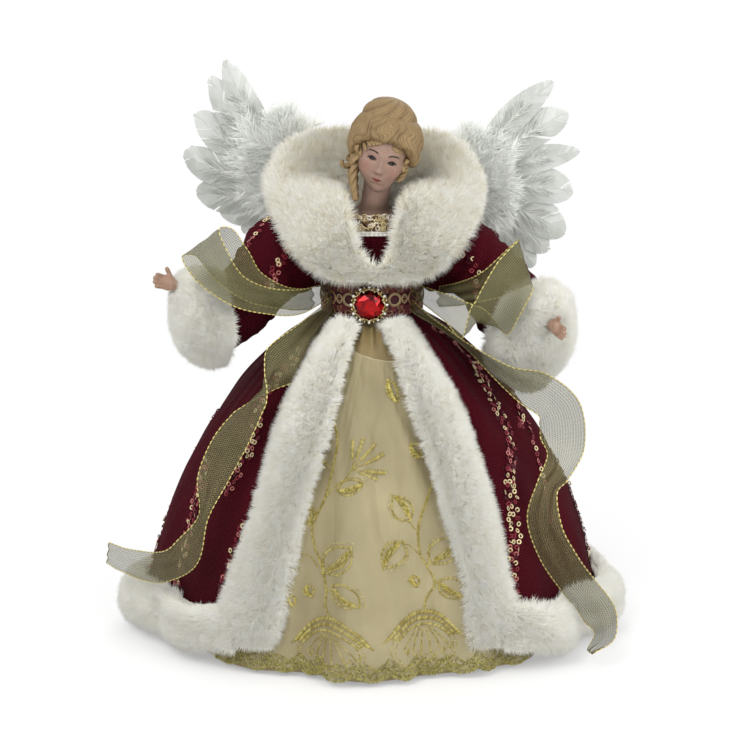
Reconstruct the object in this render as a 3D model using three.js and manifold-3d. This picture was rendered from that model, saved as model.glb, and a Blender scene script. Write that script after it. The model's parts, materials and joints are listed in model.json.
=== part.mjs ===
// Angel figurine: a doll in a fur-trimmed coat over a hollow card cone.
// Millimetres, +Z up. The figure faces -Y and +X is the viewer's right; left means the viewer's left.
// The origin is the centre of the cone's open mouth, on the plane that the cone stands on.

import * as THREE from 'three'
import { mergeVertices } from 'three/addons/utils/BufferGeometryUtils.js'
import Module from 'manifold-3d'

const wasm = await Module()
wasm.setup()

// Clear space and sheet thicknesses
const SEAT = 0.3
const CARD = 1.6
const CLOTH = 1.0
const SHEER = 0.8

// Card cone
const CONE_RIM_RADIUS = 86
const CONE_TOP_RADIUS = 19
const CONE_HEIGHT = 184

// Torso and waist
const WAIST_RADIUS = 21.5
const CHEST_WIDE = 27
const CHEST_DEEP = 19
const CHEST_RISE = 38
const SHOULDER_RISE = 7
const PEG_LENGTH = 14

// Skirts: where they start, their hems and their folds
const FLARE_HEIGHT = 184
const BAND_TALL = 19
const SKIRT_DROP = 3
const HIP_FLARE = 60
const HIP_DROP = 32
const HEM_RISE = 70
const COAT_HEM_RADIUS = 130
const COAT_HEM_HEIGHT = 16
const COAT_DEPTH = 0.81
const SKIRT_HEM_RADIUS = 117
const SKIRT_HEM_HEIGHT = 2
const SKIRT_DEPTH = 0.9
const FOLD_DEPTH = 3.2
const FOLD_COUNT = 9
const LEFT_FRONT_ANGLES = [26, 22, 32]
const RIGHT_FRONT_ANGLES = [20, 28, 31]
const OVERSKIRT_ANGLE = 44
const SCALLOP_DEPTH = 2.5

// Fur
const TRIM_WIDTH_TOP = 17
const TRIM_WIDTH_HEM = 27
const TRIM_THICK = 8
const HEM_FUR_TALL = 30
const HEM_FUR_THICK = 8
const CUFF_THICK = 6.5
const COLLAR_THICK = 8

// Bodice, belt and brooch
const NECKLINE_RISE = 9
const ARMHOLE_RADIUS = 10
const BELT_TALL = 18
const BELT_THICK = 2
const BROOCH_RADIUS = 11
const GEM_RADIUS = 7.6

// Arms
const SHOULDER_X = 24
const WIRE_RISE = 3
const WIRE_RADIUS = 1

// Ribbons
const RIBBON_WIDTH = 25
const RIBBON_THICK = 0.6

// Wings
const WING_PIVOT_X = 9
const WING_PIVOT_Y = 29
const WING_BUNDLE_RADIUS = 8
const FEATHER_PITCH = 1.5
const FEATHER_HALF_WIDTH = 9.5

// Head
const HEAD_RISE = 48
const HEAD_ROLL = 13
const HEAD_NOD = 15

const UP = new THREE.Vector3(0, 0, 1)
const radians = THREE.MathUtils.degToRad
const lerp = THREE.MathUtils.lerp
const at = (x, y, z) => new THREE.Vector3(x, y, z)
const steps = (count) => Array.from({ length: count + 1 }, (_, i) => i / count)

// A closed body from points and triangles, turned so that its faces point out.
function closed(points, faces) {
  let volume = 0
  for (let i = 0; i < faces.length; i += 3) {
    const [a, b, c] = [points[faces[i]], points[faces[i + 1]], points[faces[i + 2]]]
    volume += a.dot(b.clone().cross(c))
  }
  const geometry = new THREE.BufferGeometry().setFromPoints(points)
  geometry.setIndex(volume < 0 ? faces.reverse() : faces)
  geometry.computeVertexNormals()
  return geometry
}

// A body through a row of closed loops that have equal counts, capped at both ends.
function loft(loops) {
  const count = loops[0].length
  const points = loops.flat()
  const faces = []
  for (let row = 0; row < loops.length - 1; row++) {
    for (let i = 0; i < count; i++) {
      const a = row * count + i
      const b = row * count + ((i + 1) % count)
      faces.push(a, b, b + count, a, b + count, a + count)
    }
  }
  for (const row of [0, loops.length - 1]) {
    const middle = loops[row].reduce((sum, point) => sum.add(point), at(0, 0, 0)).divideScalar(count)
    const hub = points.push(middle) - 1
    for (let i = 0; i < count; i++) {
      const a = row * count + i
      const b = row * count + ((i + 1) % count)
      faces.push(...(row === 0 ? [b, a, hub] : [a, b, hub]))
    }
  }
  return closed(points, faces)
}

// A sheet body between an outside and an inside grid of points; wrap joins its last column to its first.
function shell(outside, inside, wrap = false) {
  const rows = outside.length
  const columns = outside[0].length
  const points = [...outside.flat(), ...inside.flat()]
  const out = (row, column) => row * columns + (column % columns)
  const into = (row, column) => rows * columns + out(row, column)
  const faces = []
  const quad = (a, b, c, d) => faces.push(a, b, c, a, c, d)
  const bottom = rows - 1
  const end = columns - 1
  for (let c = 0; c < (wrap ? columns : end); c++) {
    for (let r = 0; r < bottom; r++) {
      quad(out(r, c), out(r, c + 1), out(r + 1, c + 1), out(r + 1, c))
      quad(into(r, c), into(r + 1, c), into(r + 1, c + 1), into(r, c + 1))
    }
    quad(out(0, c + 1), out(0, c), into(0, c), into(0, c + 1))
    quad(out(bottom, c), out(bottom, c + 1), into(bottom, c + 1), into(bottom, c))
  }
  for (let r = 0; r < bottom && !wrap; r++) {
    quad(out(r, 0), out(r + 1, 0), into(r + 1, 0), into(r, 0))
    quad(out(r + 1, end), out(r, end), into(r, end), into(r + 1, end))
  }
  return closed(points, faces)
}

// A closed oval of points in the plane of two directions.
function oval(centre, across, up, wide, high, count, ripple = () => 1) {
  return Array.from({ length: count }, (_, i) => {
    const turn = (i / count) * 2 * Math.PI
    return centre.clone()
      .addScaledVector(across, wide * ripple(turn) * Math.cos(turn))
      .addScaledVector(up, high * ripple(turn) * Math.sin(turn))
  })
}

const level = (z, wide, deep, count) => oval(at(0, 0, z), at(1, 0, 0), at(0, 1, 0), wide, deep, count)

// A round wire or cord along a smooth line.
function tube(points, radius, sides, lengths) {
  const outline = new THREE.Shape()
  outline.absarc(0, 0, radius, 0, 2 * Math.PI)
  const path = new THREE.CatmullRomCurve3(points, false, 'centripetal')
  return new THREE.ExtrudeGeometry(outline, { steps: lengths, curveSegments: sides / 2, extrudePath: path })
}

function solid(geometry) {
  const bare = geometry.clone()
  bare.deleteAttribute('normal')
  bare.deleteAttribute('uv')
  const merged = mergeVertices(bare, 1e-4)
  const vertProperties = new Float32Array(merged.attributes.position.array)
  const triVerts = new Uint32Array(merged.index.array)
  return new wasm.Manifold(new wasm.Mesh({ numProp: 3, vertProperties, triVerts }))
}

function geometryOf(body) {
  const mesh = body.getMesh()
  const geometry = new THREE.BufferGeometry()
  geometry.setAttribute('position', new THREE.BufferAttribute(mesh.vertProperties, 3))
  geometry.setIndex(new THREE.BufferAttribute(mesh.triVerts, 1))
  geometry.computeVertexNormals()
  return geometry
}

const cut = (geometry, ...tools) =>
  geometryOf(tools.reduce((body, tool) => body.subtract(solid(tool)), solid(geometry)))
const join = (geometry, ...others) =>
  geometryOf(others.reduce((body, other) => body.add(solid(other)), solid(geometry)))

const figure = new THREE.Group()

function add(parent, name, geometry, color, roughness, metalness = 0) {
  const mesh = new THREE.Mesh(geometry, new THREE.MeshStandardMaterial({ color, roughness, metalness }))
  mesh.name = name
  parent.add(mesh)
  return mesh
}

const BURGUNDY = 0x5a0f22
const FUR = 0xe6e2d6
const SATIN = 0xcdbf92
const GOLD = 0xc9a94a
const OLIVE_GOLD = 0x9a9058
const RESIN = 0xd9b8ae
const FEATHER = 0xe4e6e2
const CARDBOARD = 0xcbb592
const WIRE = 0x8d8f92

// Heights that follow from where the skirts start
const BAND_TOP = FLARE_HEIGHT + BAND_TALL
const CHEST_HEIGHT = FLARE_HEIGHT + CHEST_RISE
const TORSO_TOP = CHEST_HEIGHT + SHOULDER_RISE
const NECKLINE_HEIGHT = TORSO_TOP + NECKLINE_RISE
const SHOULDER_Z = TORSO_TOP + WIRE_RISE
const HEAD_CENTRE = at(6, -13, TORSO_TOP + HEAD_RISE)

// Waist layers, each wrapped round the one before
const layerOver = (radius) => radius + SEAT + 0.1
const BODICE_WAIST = layerOver(WAIST_RADIUS)
const SKIRT_WAIST = layerOver(BODICE_WAIST + CLOTH)
const OVERSKIRT_WAIST = layerOver(SKIRT_WAIST + CLOTH)
const COAT_WAIST = layerOver(OVERSKIRT_WAIST + SHEER)
const BELT_INSIDE = layerOver(COAT_WAIST + CLOTH)

// Card cone, open at the bottom so that a tree tip can enter it
const coneLine = [
  new THREE.Vector2(CONE_RIM_RADIUS, 0),
  new THREE.Vector2(CONE_TOP_RADIUS, CONE_HEIGHT),
  new THREE.Vector2(CONE_TOP_RADIUS - CARD, CONE_HEIGHT),
  new THREE.Vector2(CONE_RIM_RADIUS - CARD, 0),
]
const coneGrid = (line) => line.map((p) => level(p.y, p.x, p.x, 36))
const cone = shell(coneGrid(coneLine.slice(0, 2)), coneGrid([coneLine[3], coneLine[2]]), true)
add(figure, 'base_cone', cone, CARDBOARD, 0.85)

// Torso: a peg in the cone's top, a waist, a chest and two upright sockets for the arm wires
const torsoLevels = [
  [CONE_HEIGHT + SEAT, WAIST_RADIUS, WAIST_RADIUS],
  [lerp(CONE_HEIGHT, CHEST_HEIGHT, 0.5), WAIST_RADIUS - 0.5, WAIST_RADIUS - 2],
  [CHEST_HEIGHT - 4, CHEST_WIDE, CHEST_DEEP],
  [CHEST_HEIGHT + 3, CHEST_WIDE, CHEST_DEEP - 0.5],
  [TORSO_TOP, CHEST_WIDE - 1.5, CHEST_DEEP - 2],
]
const pegRadius = CONE_TOP_RADIUS - CARD - SEAT
const torsoLoops = [
  level(CONE_HEIGHT - PEG_LENGTH, pegRadius, pegRadius, 24),
  level(CONE_HEIGHT + SEAT, pegRadius, pegRadius, 24),
  ...torsoLevels.map(([z, wide, deep]) => level(z, wide, deep, 24)),
]
const WIRE_LEG = 14
const wireSocket = (side) =>
  new THREE.CylinderGeometry(WIRE_RADIUS + SEAT, WIRE_RADIUS + SEAT, 2 * (WIRE_LEG + SEAT), 10)
    .rotateX(Math.PI / 2)
    .translate(side * SHOULDER_X, 0, SHOULDER_Z)
add(figure, 'torso_core', cut(loft(torsoLoops), wireSocket(-1), wireSocket(1)), CARDBOARD, 0.9)

// Bodice: cloth over the torso and the edge of the shoulder plate, with open armholes
const bodiceLevels = [
  ...torsoLevels.slice(0, 4).map(([z, wide, deep]) => [z, wide + SEAT + 0.2, deep + SEAT + 0.2]),
  [TORSO_TOP + 1, CHEST_WIDE - 1.2, CHEST_DEEP - 1.4],
  [NECKLINE_HEIGHT, CHEST_WIDE - 5.5, CHEST_DEEP - 3.5],
]
const bodiceLoops = (lift) => bodiceLevels.map(([z, wide, deep]) => level(z, wide + lift, deep + lift, 24))
const armhole = new THREE.CylinderGeometry(ARMHOLE_RADIUS, ARMHOLE_RADIUS, 4 * CHEST_WIDE, 20)
  .rotateZ(Math.PI / 2)
  .translate(0, 0, SHOULDER_Z + 1)
add(figure, 'bodice', cut(shell(bodiceLoops(CLOTH), bodiceLoops(0), true), armhole), BURGUNDY, 0.8)

// Gilt braid along the front of the neckline
const neckline = (lift) => [-6, -3, 0, 1.2].map((rise) => {
  const high = Math.min(NECKLINE_HEIGHT + rise, NECKLINE_HEIGHT)
  const share = (high - TORSO_TOP - 1) / (NECKLINE_HEIGHT - TORSO_TOP - 1)
  const wide = lerp(CHEST_WIDE - 1.2, CHEST_WIDE - 5.5, share) + CLOTH + SEAT + 0.1 + lift
  const deep = lerp(CHEST_DEEP - 1.4, CHEST_DEEP - 3.5, share) + CLOTH + SEAT + 0.1 + lift
  return steps(14).map((u) => {
    const angle = radians(lerp(-62, 62, u))
    return at(wide * Math.sin(angle), -deep * Math.cos(angle), NECKLINE_HEIGHT + rise)
  })
})
add(figure, 'neckline_trim', shell(neckline(1.6), neckline(0)), GOLD, 0.4, 0.6)

// The skirts' bell: a straight band at the waist, then a flare to the hem with folds that deepen downwards.
// share runs from 0 at the band's top to 1 at the hem; angle is measured from the front towards +X.
const BAND_SHARE = 0.1
const fold = (angle, share) =>
  FOLD_DEPTH * share ** 1.5 * (Math.cos(FOLD_COUNT * angle) + 0.4 * Math.cos((FOLD_COUNT + 5) * angle + 1))
const bell = (waist, flareHeight, hemRadius, hemHeight, depth, hemFlare) => {
  const flare = new THREE.CubicBezierCurve(
    new THREE.Vector2(waist, flareHeight),
    new THREE.Vector2(waist + HIP_FLARE, flareHeight - HIP_DROP),
    new THREE.Vector2(hemRadius - hemFlare, hemHeight + HEM_RISE),
    new THREE.Vector2(hemRadius, hemHeight),
  )
  const line = (share) => share < BAND_SHARE
    ? new THREE.Vector2(waist, lerp(BAND_TOP, flareHeight, share / BAND_SHARE))
    : flare.getPoint((share - BAND_SHARE) / (1 - BAND_SHARE))
  const point = (angle, share) => {
    const { x: radius, y: z } = line(share)
    const flat = lerp(1, depth, THREE.MathUtils.smoothstep(share, BAND_SHARE, 1))
    const out = fold(angle, share)
    return at((radius + out) * Math.sin(angle), -(radius * flat + out) * Math.cos(angle), z)
  }
  const lifted = (angle, share, lift) => {
    const low = Math.max(share - 0.01, 0)
    const high = Math.min(share + 0.01, 1)
    const down = point(angle, high).sub(point(angle, low))
    const along = point(angle + 0.01, share).sub(point(angle - 0.01, share))
    return point(angle, share).addScaledVector(down.cross(along).normalize(), lift)
  }
  return lifted
}
const skirtBell = bell(SKIRT_WAIST, FLARE_HEIGHT - SKIRT_DROP, SKIRT_HEM_RADIUS, SKIRT_HEM_HEIGHT, SKIRT_DEPTH, 10)
const coatBell = bell(COAT_WAIST, FLARE_HEIGHT, COAT_HEM_RADIUS, COAT_HEM_HEIGHT, COAT_DEPTH, 14)

// The coat's front edge on one side: an angle at the waist, one that it bends towards, and one at the hem.
const frontAngle = (side, share) => {
  const [top, bend, hem] = side < 0 ? LEFT_FRONT_ANGLES : RIGHT_FRONT_ANGLES
  return radians(lerp(lerp(top, bend, share), lerp(bend, hem, share), share))
}
const skirtShares = [0, 0.1, 0.2, 0.34, 0.52, 0.75, 1]
const SKIRT_COLUMNS = 6 * FOLD_COUNT
const skirtAngle = (column) => (column / SKIRT_COLUMNS) * 2 * Math.PI

// Satin underskirt, all the way round
const skirtGrid = (lift) => skirtShares.map((share) =>
  Array.from({ length: SKIRT_COLUMNS }, (_, column) => skirtBell(skirtAngle(column), share, lift)))
add(figure, 'satin_underskirt', shell(skirtGrid(CLOTH), skirtGrid(0), true), SATIN, 0.45)

// Sheer embroidered overskirt across the front, with a scalloped hem
const overColumns = Math.floor((radians(OVERSKIRT_ANGLE) / (2 * Math.PI)) * SKIRT_COLUMNS)
const overAngles = Array.from({ length: 2 * overColumns + 1 }, (_, i) => skirtAngle(i - overColumns))
const overGrid = (lift) => skirtShares.map((share) => overAngles.map((angle, i) => {
  const point = skirtBell(angle, share, lift)
  const scallop = share === 1 && i % 2 === 1 ? SCALLOP_DEPTH : 0
  return point.add(at(0, 0, scallop))
}))
const OVER_LIFT = CLOTH + SEAT + 0.1
add(figure, 'embroidered_overskirt', shell(overGrid(OVER_LIFT + SHEER), overGrid(OVER_LIFT)), GOLD, 0.5)

// Coat skirt: a left, a right and a back panel, open at the front
const SEAM_ANGLE = radians(110)
const coatShares = [0, 0.1, 0.18, 0.28, 0.4, 0.54, 0.68, 0.84, 1]
const coatPanel = (columns, angleAt) => {
  const grid = (lift) => coatShares.map((share) =>
    steps(columns).map((u) => coatBell(angleAt(u, share), share, lift)))
  return shell(grid(CLOTH), grid(0))
}
const seamGap = (share) => SEAT / lerp(COAT_WAIST, COAT_HEM_RADIUS, share)
const sidePanel = (side) => coatPanel(15, (u, share) =>
  side * lerp(frontAngle(side, share), SEAM_ANGLE - seamGap(share), u))
add(figure, 'coat_left_panel', sidePanel(-1), BURGUNDY, 0.85)
add(figure, 'coat_right_panel', sidePanel(1), BURGUNDY, 0.85)
const backPanel = coatPanel(24, (u) => lerp(SEAM_ANGLE, 2 * Math.PI - SEAM_ANGLE, u))
add(figure, 'coat_back_panel', backPanel, BURGUNDY, 0.85)

// Fur trims down both front edges: flat against the coat, rounded outside
const FUR_LIFT = CLOTH + SEAT + 0.5
const round = (u) => 0.16 + 0.84 * Math.sqrt(Math.max(0, 1 - (2 * u - 1) ** 2))
const trimShares = [0.14, 0.22, 0.32, 0.44, 0.56, 0.68, 0.8, 0.9, 0.99]
const frontFur = (side) => {
  const grid = (thick) => trimShares.map((share) => {
    const width = lerp(TRIM_WIDTH_TOP, TRIM_WIDTH_HEM, THREE.MathUtils.smoothstep(share, 0.1, 0.55))
    const edge = coatBell(side * frontAngle(side, share), share, 0)
    const spread = width / 2 / Math.hypot(edge.x, edge.y)
    const swell = share === trimShares[0] ? 0.5 : 1
    return steps(8).map((u) => {
      const angle = side * (frontAngle(side, share) + lerp(-spread, spread, u))
      return coatBell(angle, share, FUR_LIFT + thick * swell * round(u))
    })
  })
  return shell(grid(TRIM_THICK), grid(0))
}
add(figure, 'left_front_fur', frontFur(-1), FUR, 0.95)
add(figure, 'right_front_fur', frontFur(1), FUR, 0.95)

// Fur band along the coat's hem, from trim to trim round the back
const HEM_BELOW = 0.32
const hemStart = (side) =>
  frontAngle(side, 1) + (TRIM_WIDTH_HEM / 2 + SEAT + 1) / (COAT_HEM_RADIUS * COAT_DEPTH)
const hemFurGrid = (thick) => [1, 0.75, 0.5, 0.25, 0].map((rise) =>
  steps(44).map((u) => {
    const angle = lerp(hemStart(1), 2 * Math.PI - hemStart(-1), u)
    const end = Math.min(1, 0.6 + 8 * Math.min(u, 1 - u))
    const point = coatBell(angle, 1 - 0.001, FUR_LIFT + 0.5 + thick * end * round(rise))
    const slope = coatBell(angle, 1, 0).sub(coatBell(angle, 0.86, 0)).normalize()
    return point.addScaledVector(slope, HEM_FUR_TALL * (HEM_BELOW - rise))
  }))
add(figure, 'hem_fur', shell(hemFurGrid(HEM_FUR_THICK), hemFurGrid(0)), FUR, 0.95)

// Lace belt round the waist
const beltBottom = FLARE_HEIGHT + 1.5
const beltGrid = (radius) => [beltBottom + BELT_TALL, beltBottom].map((z) => level(z, radius, radius, 44))
const belt = shell(beltGrid(BELT_INSIDE + BELT_THICK), beltGrid(BELT_INSIDE), true)
add(figure, 'belt_braid', belt, 0x7a2a30, 0.6)

// Brooch on the belt: a scalloped setting with a round pocket, and the cut gem in it
const brooch = new THREE.Group()
brooch.position.set(-1.6, -(BELT_INSIDE + BELT_THICK + SEAT), beltBottom + BELT_TALL / 2 - 2)
brooch.rotation.x = Math.PI / 2
figure.add(brooch)
const scalloped = new THREE.Shape(steps(47).map((u) => {
  const turn = u * 2 * Math.PI * (47 / 48)
  const radius = BROOCH_RADIUS * (0.94 + 0.06 * Math.cos(12 * turn))
  return new THREE.Vector2(radius * Math.cos(turn), radius * Math.sin(turn))
}))
const POCKET_DEPTH = 2.2
const SETTING_THICK = 3.4
const plate = new THREE.ExtrudeGeometry(scalloped, { depth: SETTING_THICK, bevelEnabled: false })
const pocket = new THREE.CylinderGeometry(GEM_RADIUS + SEAT, GEM_RADIUS + SEAT, 2 * POCKET_DEPTH, 24)
  .rotateX(Math.PI / 2)
  .translate(0, 0, SETTING_THICK)
add(brooch, 'brooch_setting', cut(plate, pocket), 0xd8c79a, 0.3, 1)
const gemLine = [[0, 0], [0.8, 0], [1, 1.4], [0.98, 2.4], [0.74, 4.2], [0.45, 5], [0, 5]]
const gem = new THREE.LatheGeometry(gemLine.map(([r, z]) => new THREE.Vector2(r * GEM_RADIUS, z)), 12)
  .rotateX(Math.PI / 2)
  .translate(0, 0, SETTING_THICK - POCKET_DEPTH + SEAT)
add(brooch, 'brooch_gem', gem, 0xb01020, 0.1)

// Head, hair, neck and shoulder plate: one casting
const ball = (centre, x, y, z, across = 12, down = 8) =>
  new THREE.SphereGeometry(1, across, down).rotateX(Math.PI / 2).scale(x, y, z).translate(...centre)
const headParts = [
  ball([0, -5, -3], 16, 17.5, 21),
  ball([0, 3, 3.5], 20, 20, 20.5),
  ball([0, -14.5, -18], 6.5, 6, 6),
  ball([0, -22.6, -6.5], 2, 2.4, 3.4, 6, 5),
  ball([0, 7, 19.5], 12, 11, 10),
  ball([-14, -11, 8], 6, 6, 8, 8, 6),
  ball([14, -11, 8], 6, 6, 8, 8, 6),
  ball([-17.5, -6, -10], 4, 5, 11, 8, 6),
  ball([16.5, -3, -8], 4, 5, 9, 8, 6),
]
const headTurn = new THREE.Matrix4().makeRotationFromEuler(
  new THREE.Euler(radians(HEAD_NOD), radians(HEAD_ROLL), 0))
headTurn.setPosition(HEAD_CENTRE)
const head = headParts.map((part) => part.applyMatrix4(headTurn))
const neckBase = at(1.5, -4, TORSO_TOP + 14)
const plateLoops = [
  level(TORSO_TOP + SEAT, 19, 14, 20),
  level(TORSO_TOP + 8, 17, 12.5, 20),
  oval(at(0.5, -2, TORSO_TOP + 13), at(1, 0, 0), at(0, 1, 0), 11, 10, 20),
  oval(neckBase.clone().add(at(0, -2, 4)), at(1, 0, 0), at(0, 1, 0), 8, 8, 20),
  oval(HEAD_CENTRE.clone().add(at(-2, 2, -12)), at(1, 0, 0), at(0, 1, 0), 8, 8, 20),
]
add(figure, 'head_bust', join(loft(plateLoops), ...head), RESIN, 0.5)

// Fur collar: a thick band from the left lapel's tip, up round the back of the neck, to the right tip.
// Each station has the point of its inner edge and of its outer edge, from the torso's top, and a share of the
// full thickness.
const collarStations = [
  [[3, -36, -18], [-2, -39, -23.5], 0.5],
  [[0, -33, -10], [-25, -40, -20], 0.75],
  [[-6, -28, 7], [-43, -37, -9], 0.9],
  [[-12, -18, 24], [-58, -15, 14], 0.9],
  [[-18, -1, 18], [-61, 4, 33], 0.95],
  [[-14, 13, 9], [-45, 24, 53], 0.95],
  [[3, 18, 7], [4, 33, 59], 0.85],
  [[18, 13, 9], [49, 24, 52], 0.95],
  [[21, -1, 18], [64, 4, 31], 0.95],
  [[15, -18, 24], [62, -15, 12], 0.9],
  [[8, -28, 7], [45, -38, -11], 0.9],
  [[4, -33, -10], [29, -40, -20], 0.75],
  [[4, -36.5, -17], [9, -39, -23.5], 0.5],
]
const aboveTorso = ([x, y, rise]) => at(x, y, TORSO_TOP + rise)
const collarLine = (which) => new THREE.CatmullRomCurve3(collarStations.map((s) => aboveTorso(s[which])))
const innerLine = collarLine(0)
const outerLine = collarLine(1)
const collarLoops = steps(34).map((u) => {
  const inner = innerLine.getPoint(u)
  const outer = outerLine.getPoint(u)
  const place = u * (collarStations.length - 1)
  const near = collarStations[Math.floor(place)][2]
  const next = collarStations[Math.ceil(place)][2]
  const thick = COLLAR_THICK * lerp(near, next, place % 1)
  const across = outer.clone().sub(inner)
  const along = innerLine.getTangent(u).add(outerLine.getTangent(u))
  const normal = along.cross(across).normalize()
  const middle = inner.clone().add(outer).multiplyScalar(0.5)
  return oval(middle, across.normalize(), normal, inner.distanceTo(outer) / 2, thick, 12)
})
const bodyClear = loft(bodiceLoops(CLOTH + 2.4))
const headClear = loft(plateLoops.map((loop) => {
  const middle = loop.reduce((sum, p) => sum.add(p), at(0, 0, 0)).divideScalar(loop.length)
  return loop.map((p) => p.clone().sub(middle).multiplyScalar(1.1).add(middle))
}))
add(figure, 'fur_collar', cut(loft(collarLoops), bodyClear, headClear), FUR, 0.95)

// Arms. The wire's first leg stands in the torso's socket, so the arm swings about it.
// Sleeve stations: share of the wire, drop of the middle below the wire, half height and half depth.
const armSpecs = [
  {
    name: 'left',
    side: -1,
    bend: [[-22, -9, -8], [-45, -23, -25], [-62, -34, -33], [-76, -41, -29]],
    sleeve: [[0.22, 0, 6, 6], [0.3, 3, 12, 11], [0.46, 7, 17, 15], [0.66, 11, 19, 15], [0.8, 12.5, 18.5, 14]],
    cuffTo: 0.96,
    fingers: [-0.86, -0.4, 0.3],
  },
  {
    name: 'right',
    side: 1,
    bend: [[23, -8, -7], [47, -22, -22], [62, -40, -36], [70, -56, -42]],
    sleeve: [[0.22, 0, 6, 6], [0.3, 3, 12, 11], [0.46, 7, 18, 15], [0.66, 13, 23, 16], [0.8, 16, 24, 16]],
    cuffTo: 0.95,
    fingers: [0.35, -0.86, -0.3],
  },
]

// The value of a station list at a share of the wire, held at its last station beyond that.
function between(stations, share, column) {
  const next = stations.findIndex((station) => station[0] >= share)
  if (next < 0) return stations[stations.length - 1][column]
  if (next === 0) return stations[0][column]
  const [before, after] = [stations[next - 1], stations[next]]
  return lerp(before[column], after[column], (share - before[0]) / (after[0] - before[0]))
}

function hand(spec, wristAt) {
  const fingers = at(...spec.fingers).normalize()
  const aside = UP.clone().cross(fingers).normalize()
  const turn = new THREE.Matrix4().makeBasis(fingers, aside, fingers.clone().cross(aside))
  turn.setPosition(wristAt)
  const stick = (from, to, radius) => {
    const along = at(...to).sub(at(...from))
    const shape = new THREE.CapsuleGeometry(radius, along.length(), 2, 6)
    shape.applyQuaternion(new THREE.Quaternion().setFromUnitVectors(at(0, 1, 0), along.normalize()))
    const middle = at(...from).add(at(...to)).multiplyScalar(0.5)
    return shape.translate(middle.x, middle.y, middle.z)
  }
  const wrist = new THREE.CylinderGeometry(3.3, 3.6, 12, 12).rotateZ(-Math.PI / 2).translate(-1, 0, 0)
  const palm = ball([6, 0, 0.3], 5.6, 2.8, 4.4, 12, 8)
  const fingerSticks = [2.9, 1.0, -0.9, -2.7].map((z, i) =>
    stick([8, 0, z], [[13.2, 14.2, 13.6, 12][i], 0.8, z * 1.15], 1.25))
  const thumb = stick([4.5, 0, 3], [8.2, -0.8, 7.4], 1.4)
  const whole = [palm, ...fingerSticks, thumb].reduce((body, part) => body.add(solid(part)), solid(wrist))
  const bore = new THREE.CylinderGeometry(WIRE_RADIUS + SEAT, WIRE_RADIUS + SEAT, 12, 10)
    .rotateZ(Math.PI / 2)
    .translate(-4, 0, 0)
  return geometryOf(whole.subtract(solid(bore))).applyMatrix4(turn)
}

function arm(spec) {
  const group = new THREE.Group()
  group.position.set(spec.side * SHOULDER_X, 0, SHOULDER_Z)
  figure.add(group)
  const fingers = at(...spec.fingers).normalize()
  const leg = [[0, 0, -WIRE_LEG], [0, 0, -8], [0, 0, -5], [0, 0, -2.4], [spec.side * 2.6, -0.4, 0.2]]
  const bend = [...leg, [spec.side * 7, -1.8, 0], ...spec.bend].map((p) => at(...p))
  const wristAt = bend[bend.length - 1].clone().addScaledVector(fingers, 7)
  const wirePoints = [...bend, wristAt.clone().addScaledVector(fingers, -5), wristAt.clone().addScaledVector(fingers, 1)]
  const line = new THREE.CatmullRomCurve3(wirePoints, false, 'centripetal')
  add(group, `${spec.name}_arm_wire`, tube(wirePoints, WIRE_RADIUS, 6, 36), WIRE, 0.4, 1)

  const ring = (share, grow, count) => {
    const along = line.getTangentAt(share)
    const up = UP.clone().addScaledVector(along, -along.z).normalize()
    const aside = up.clone().cross(along)
    const middle = line.getPointAt(share).addScaledVector(up, -between(spec.sleeve, share, 1))
    const high = between(spec.sleeve, share, 2) + grow
    const deep = between(spec.sleeve, share, 3) + grow
    return oval(middle, aside, up, deep, high, count, (turn) => 1 + 0.05 * share * Math.cos(5 * turn + 1))
  }
  const sleeveEnd = spec.sleeve[spec.sleeve.length - 1][0]
  const sleeveShares = steps(7).map((u) => lerp(spec.sleeve[0][0], sleeveEnd, u))
  const sleeve = loft(sleeveShares.map((share) => ring(share, 0, 20)))
  const wireWay = tube(wirePoints, WIRE_RADIUS + SEAT + 0.1, 6, 36)
  add(group, `${spec.name}_sleeve`, cut(sleeve, wireWay), BURGUNDY, 0.85)

  const cuffShares = steps(5).map((u) => lerp(sleeveEnd - 0.1, spec.cuffTo, u))
  const closeIn = (i) => (i > 3 ? CUFF_THICK * 0.2 * (i - 3) : 0)
  const cuffGrid = (thick) => cuffShares.map((share, i) =>
    ring(share, SEAT + 0.7 + thick * round(lerp(0.06, 0.94, i / 5)) - closeIn(i), 20))
  add(group, `${spec.name}_cuff`, shell(cuffGrid(CUFF_THICK), cuffGrid(0), true), FUR, 0.95)

  add(group, `${spec.name}_hand`, hand(spec, wristAt), RESIN, 0.5)
}
armSpecs.forEach(arm)

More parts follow.
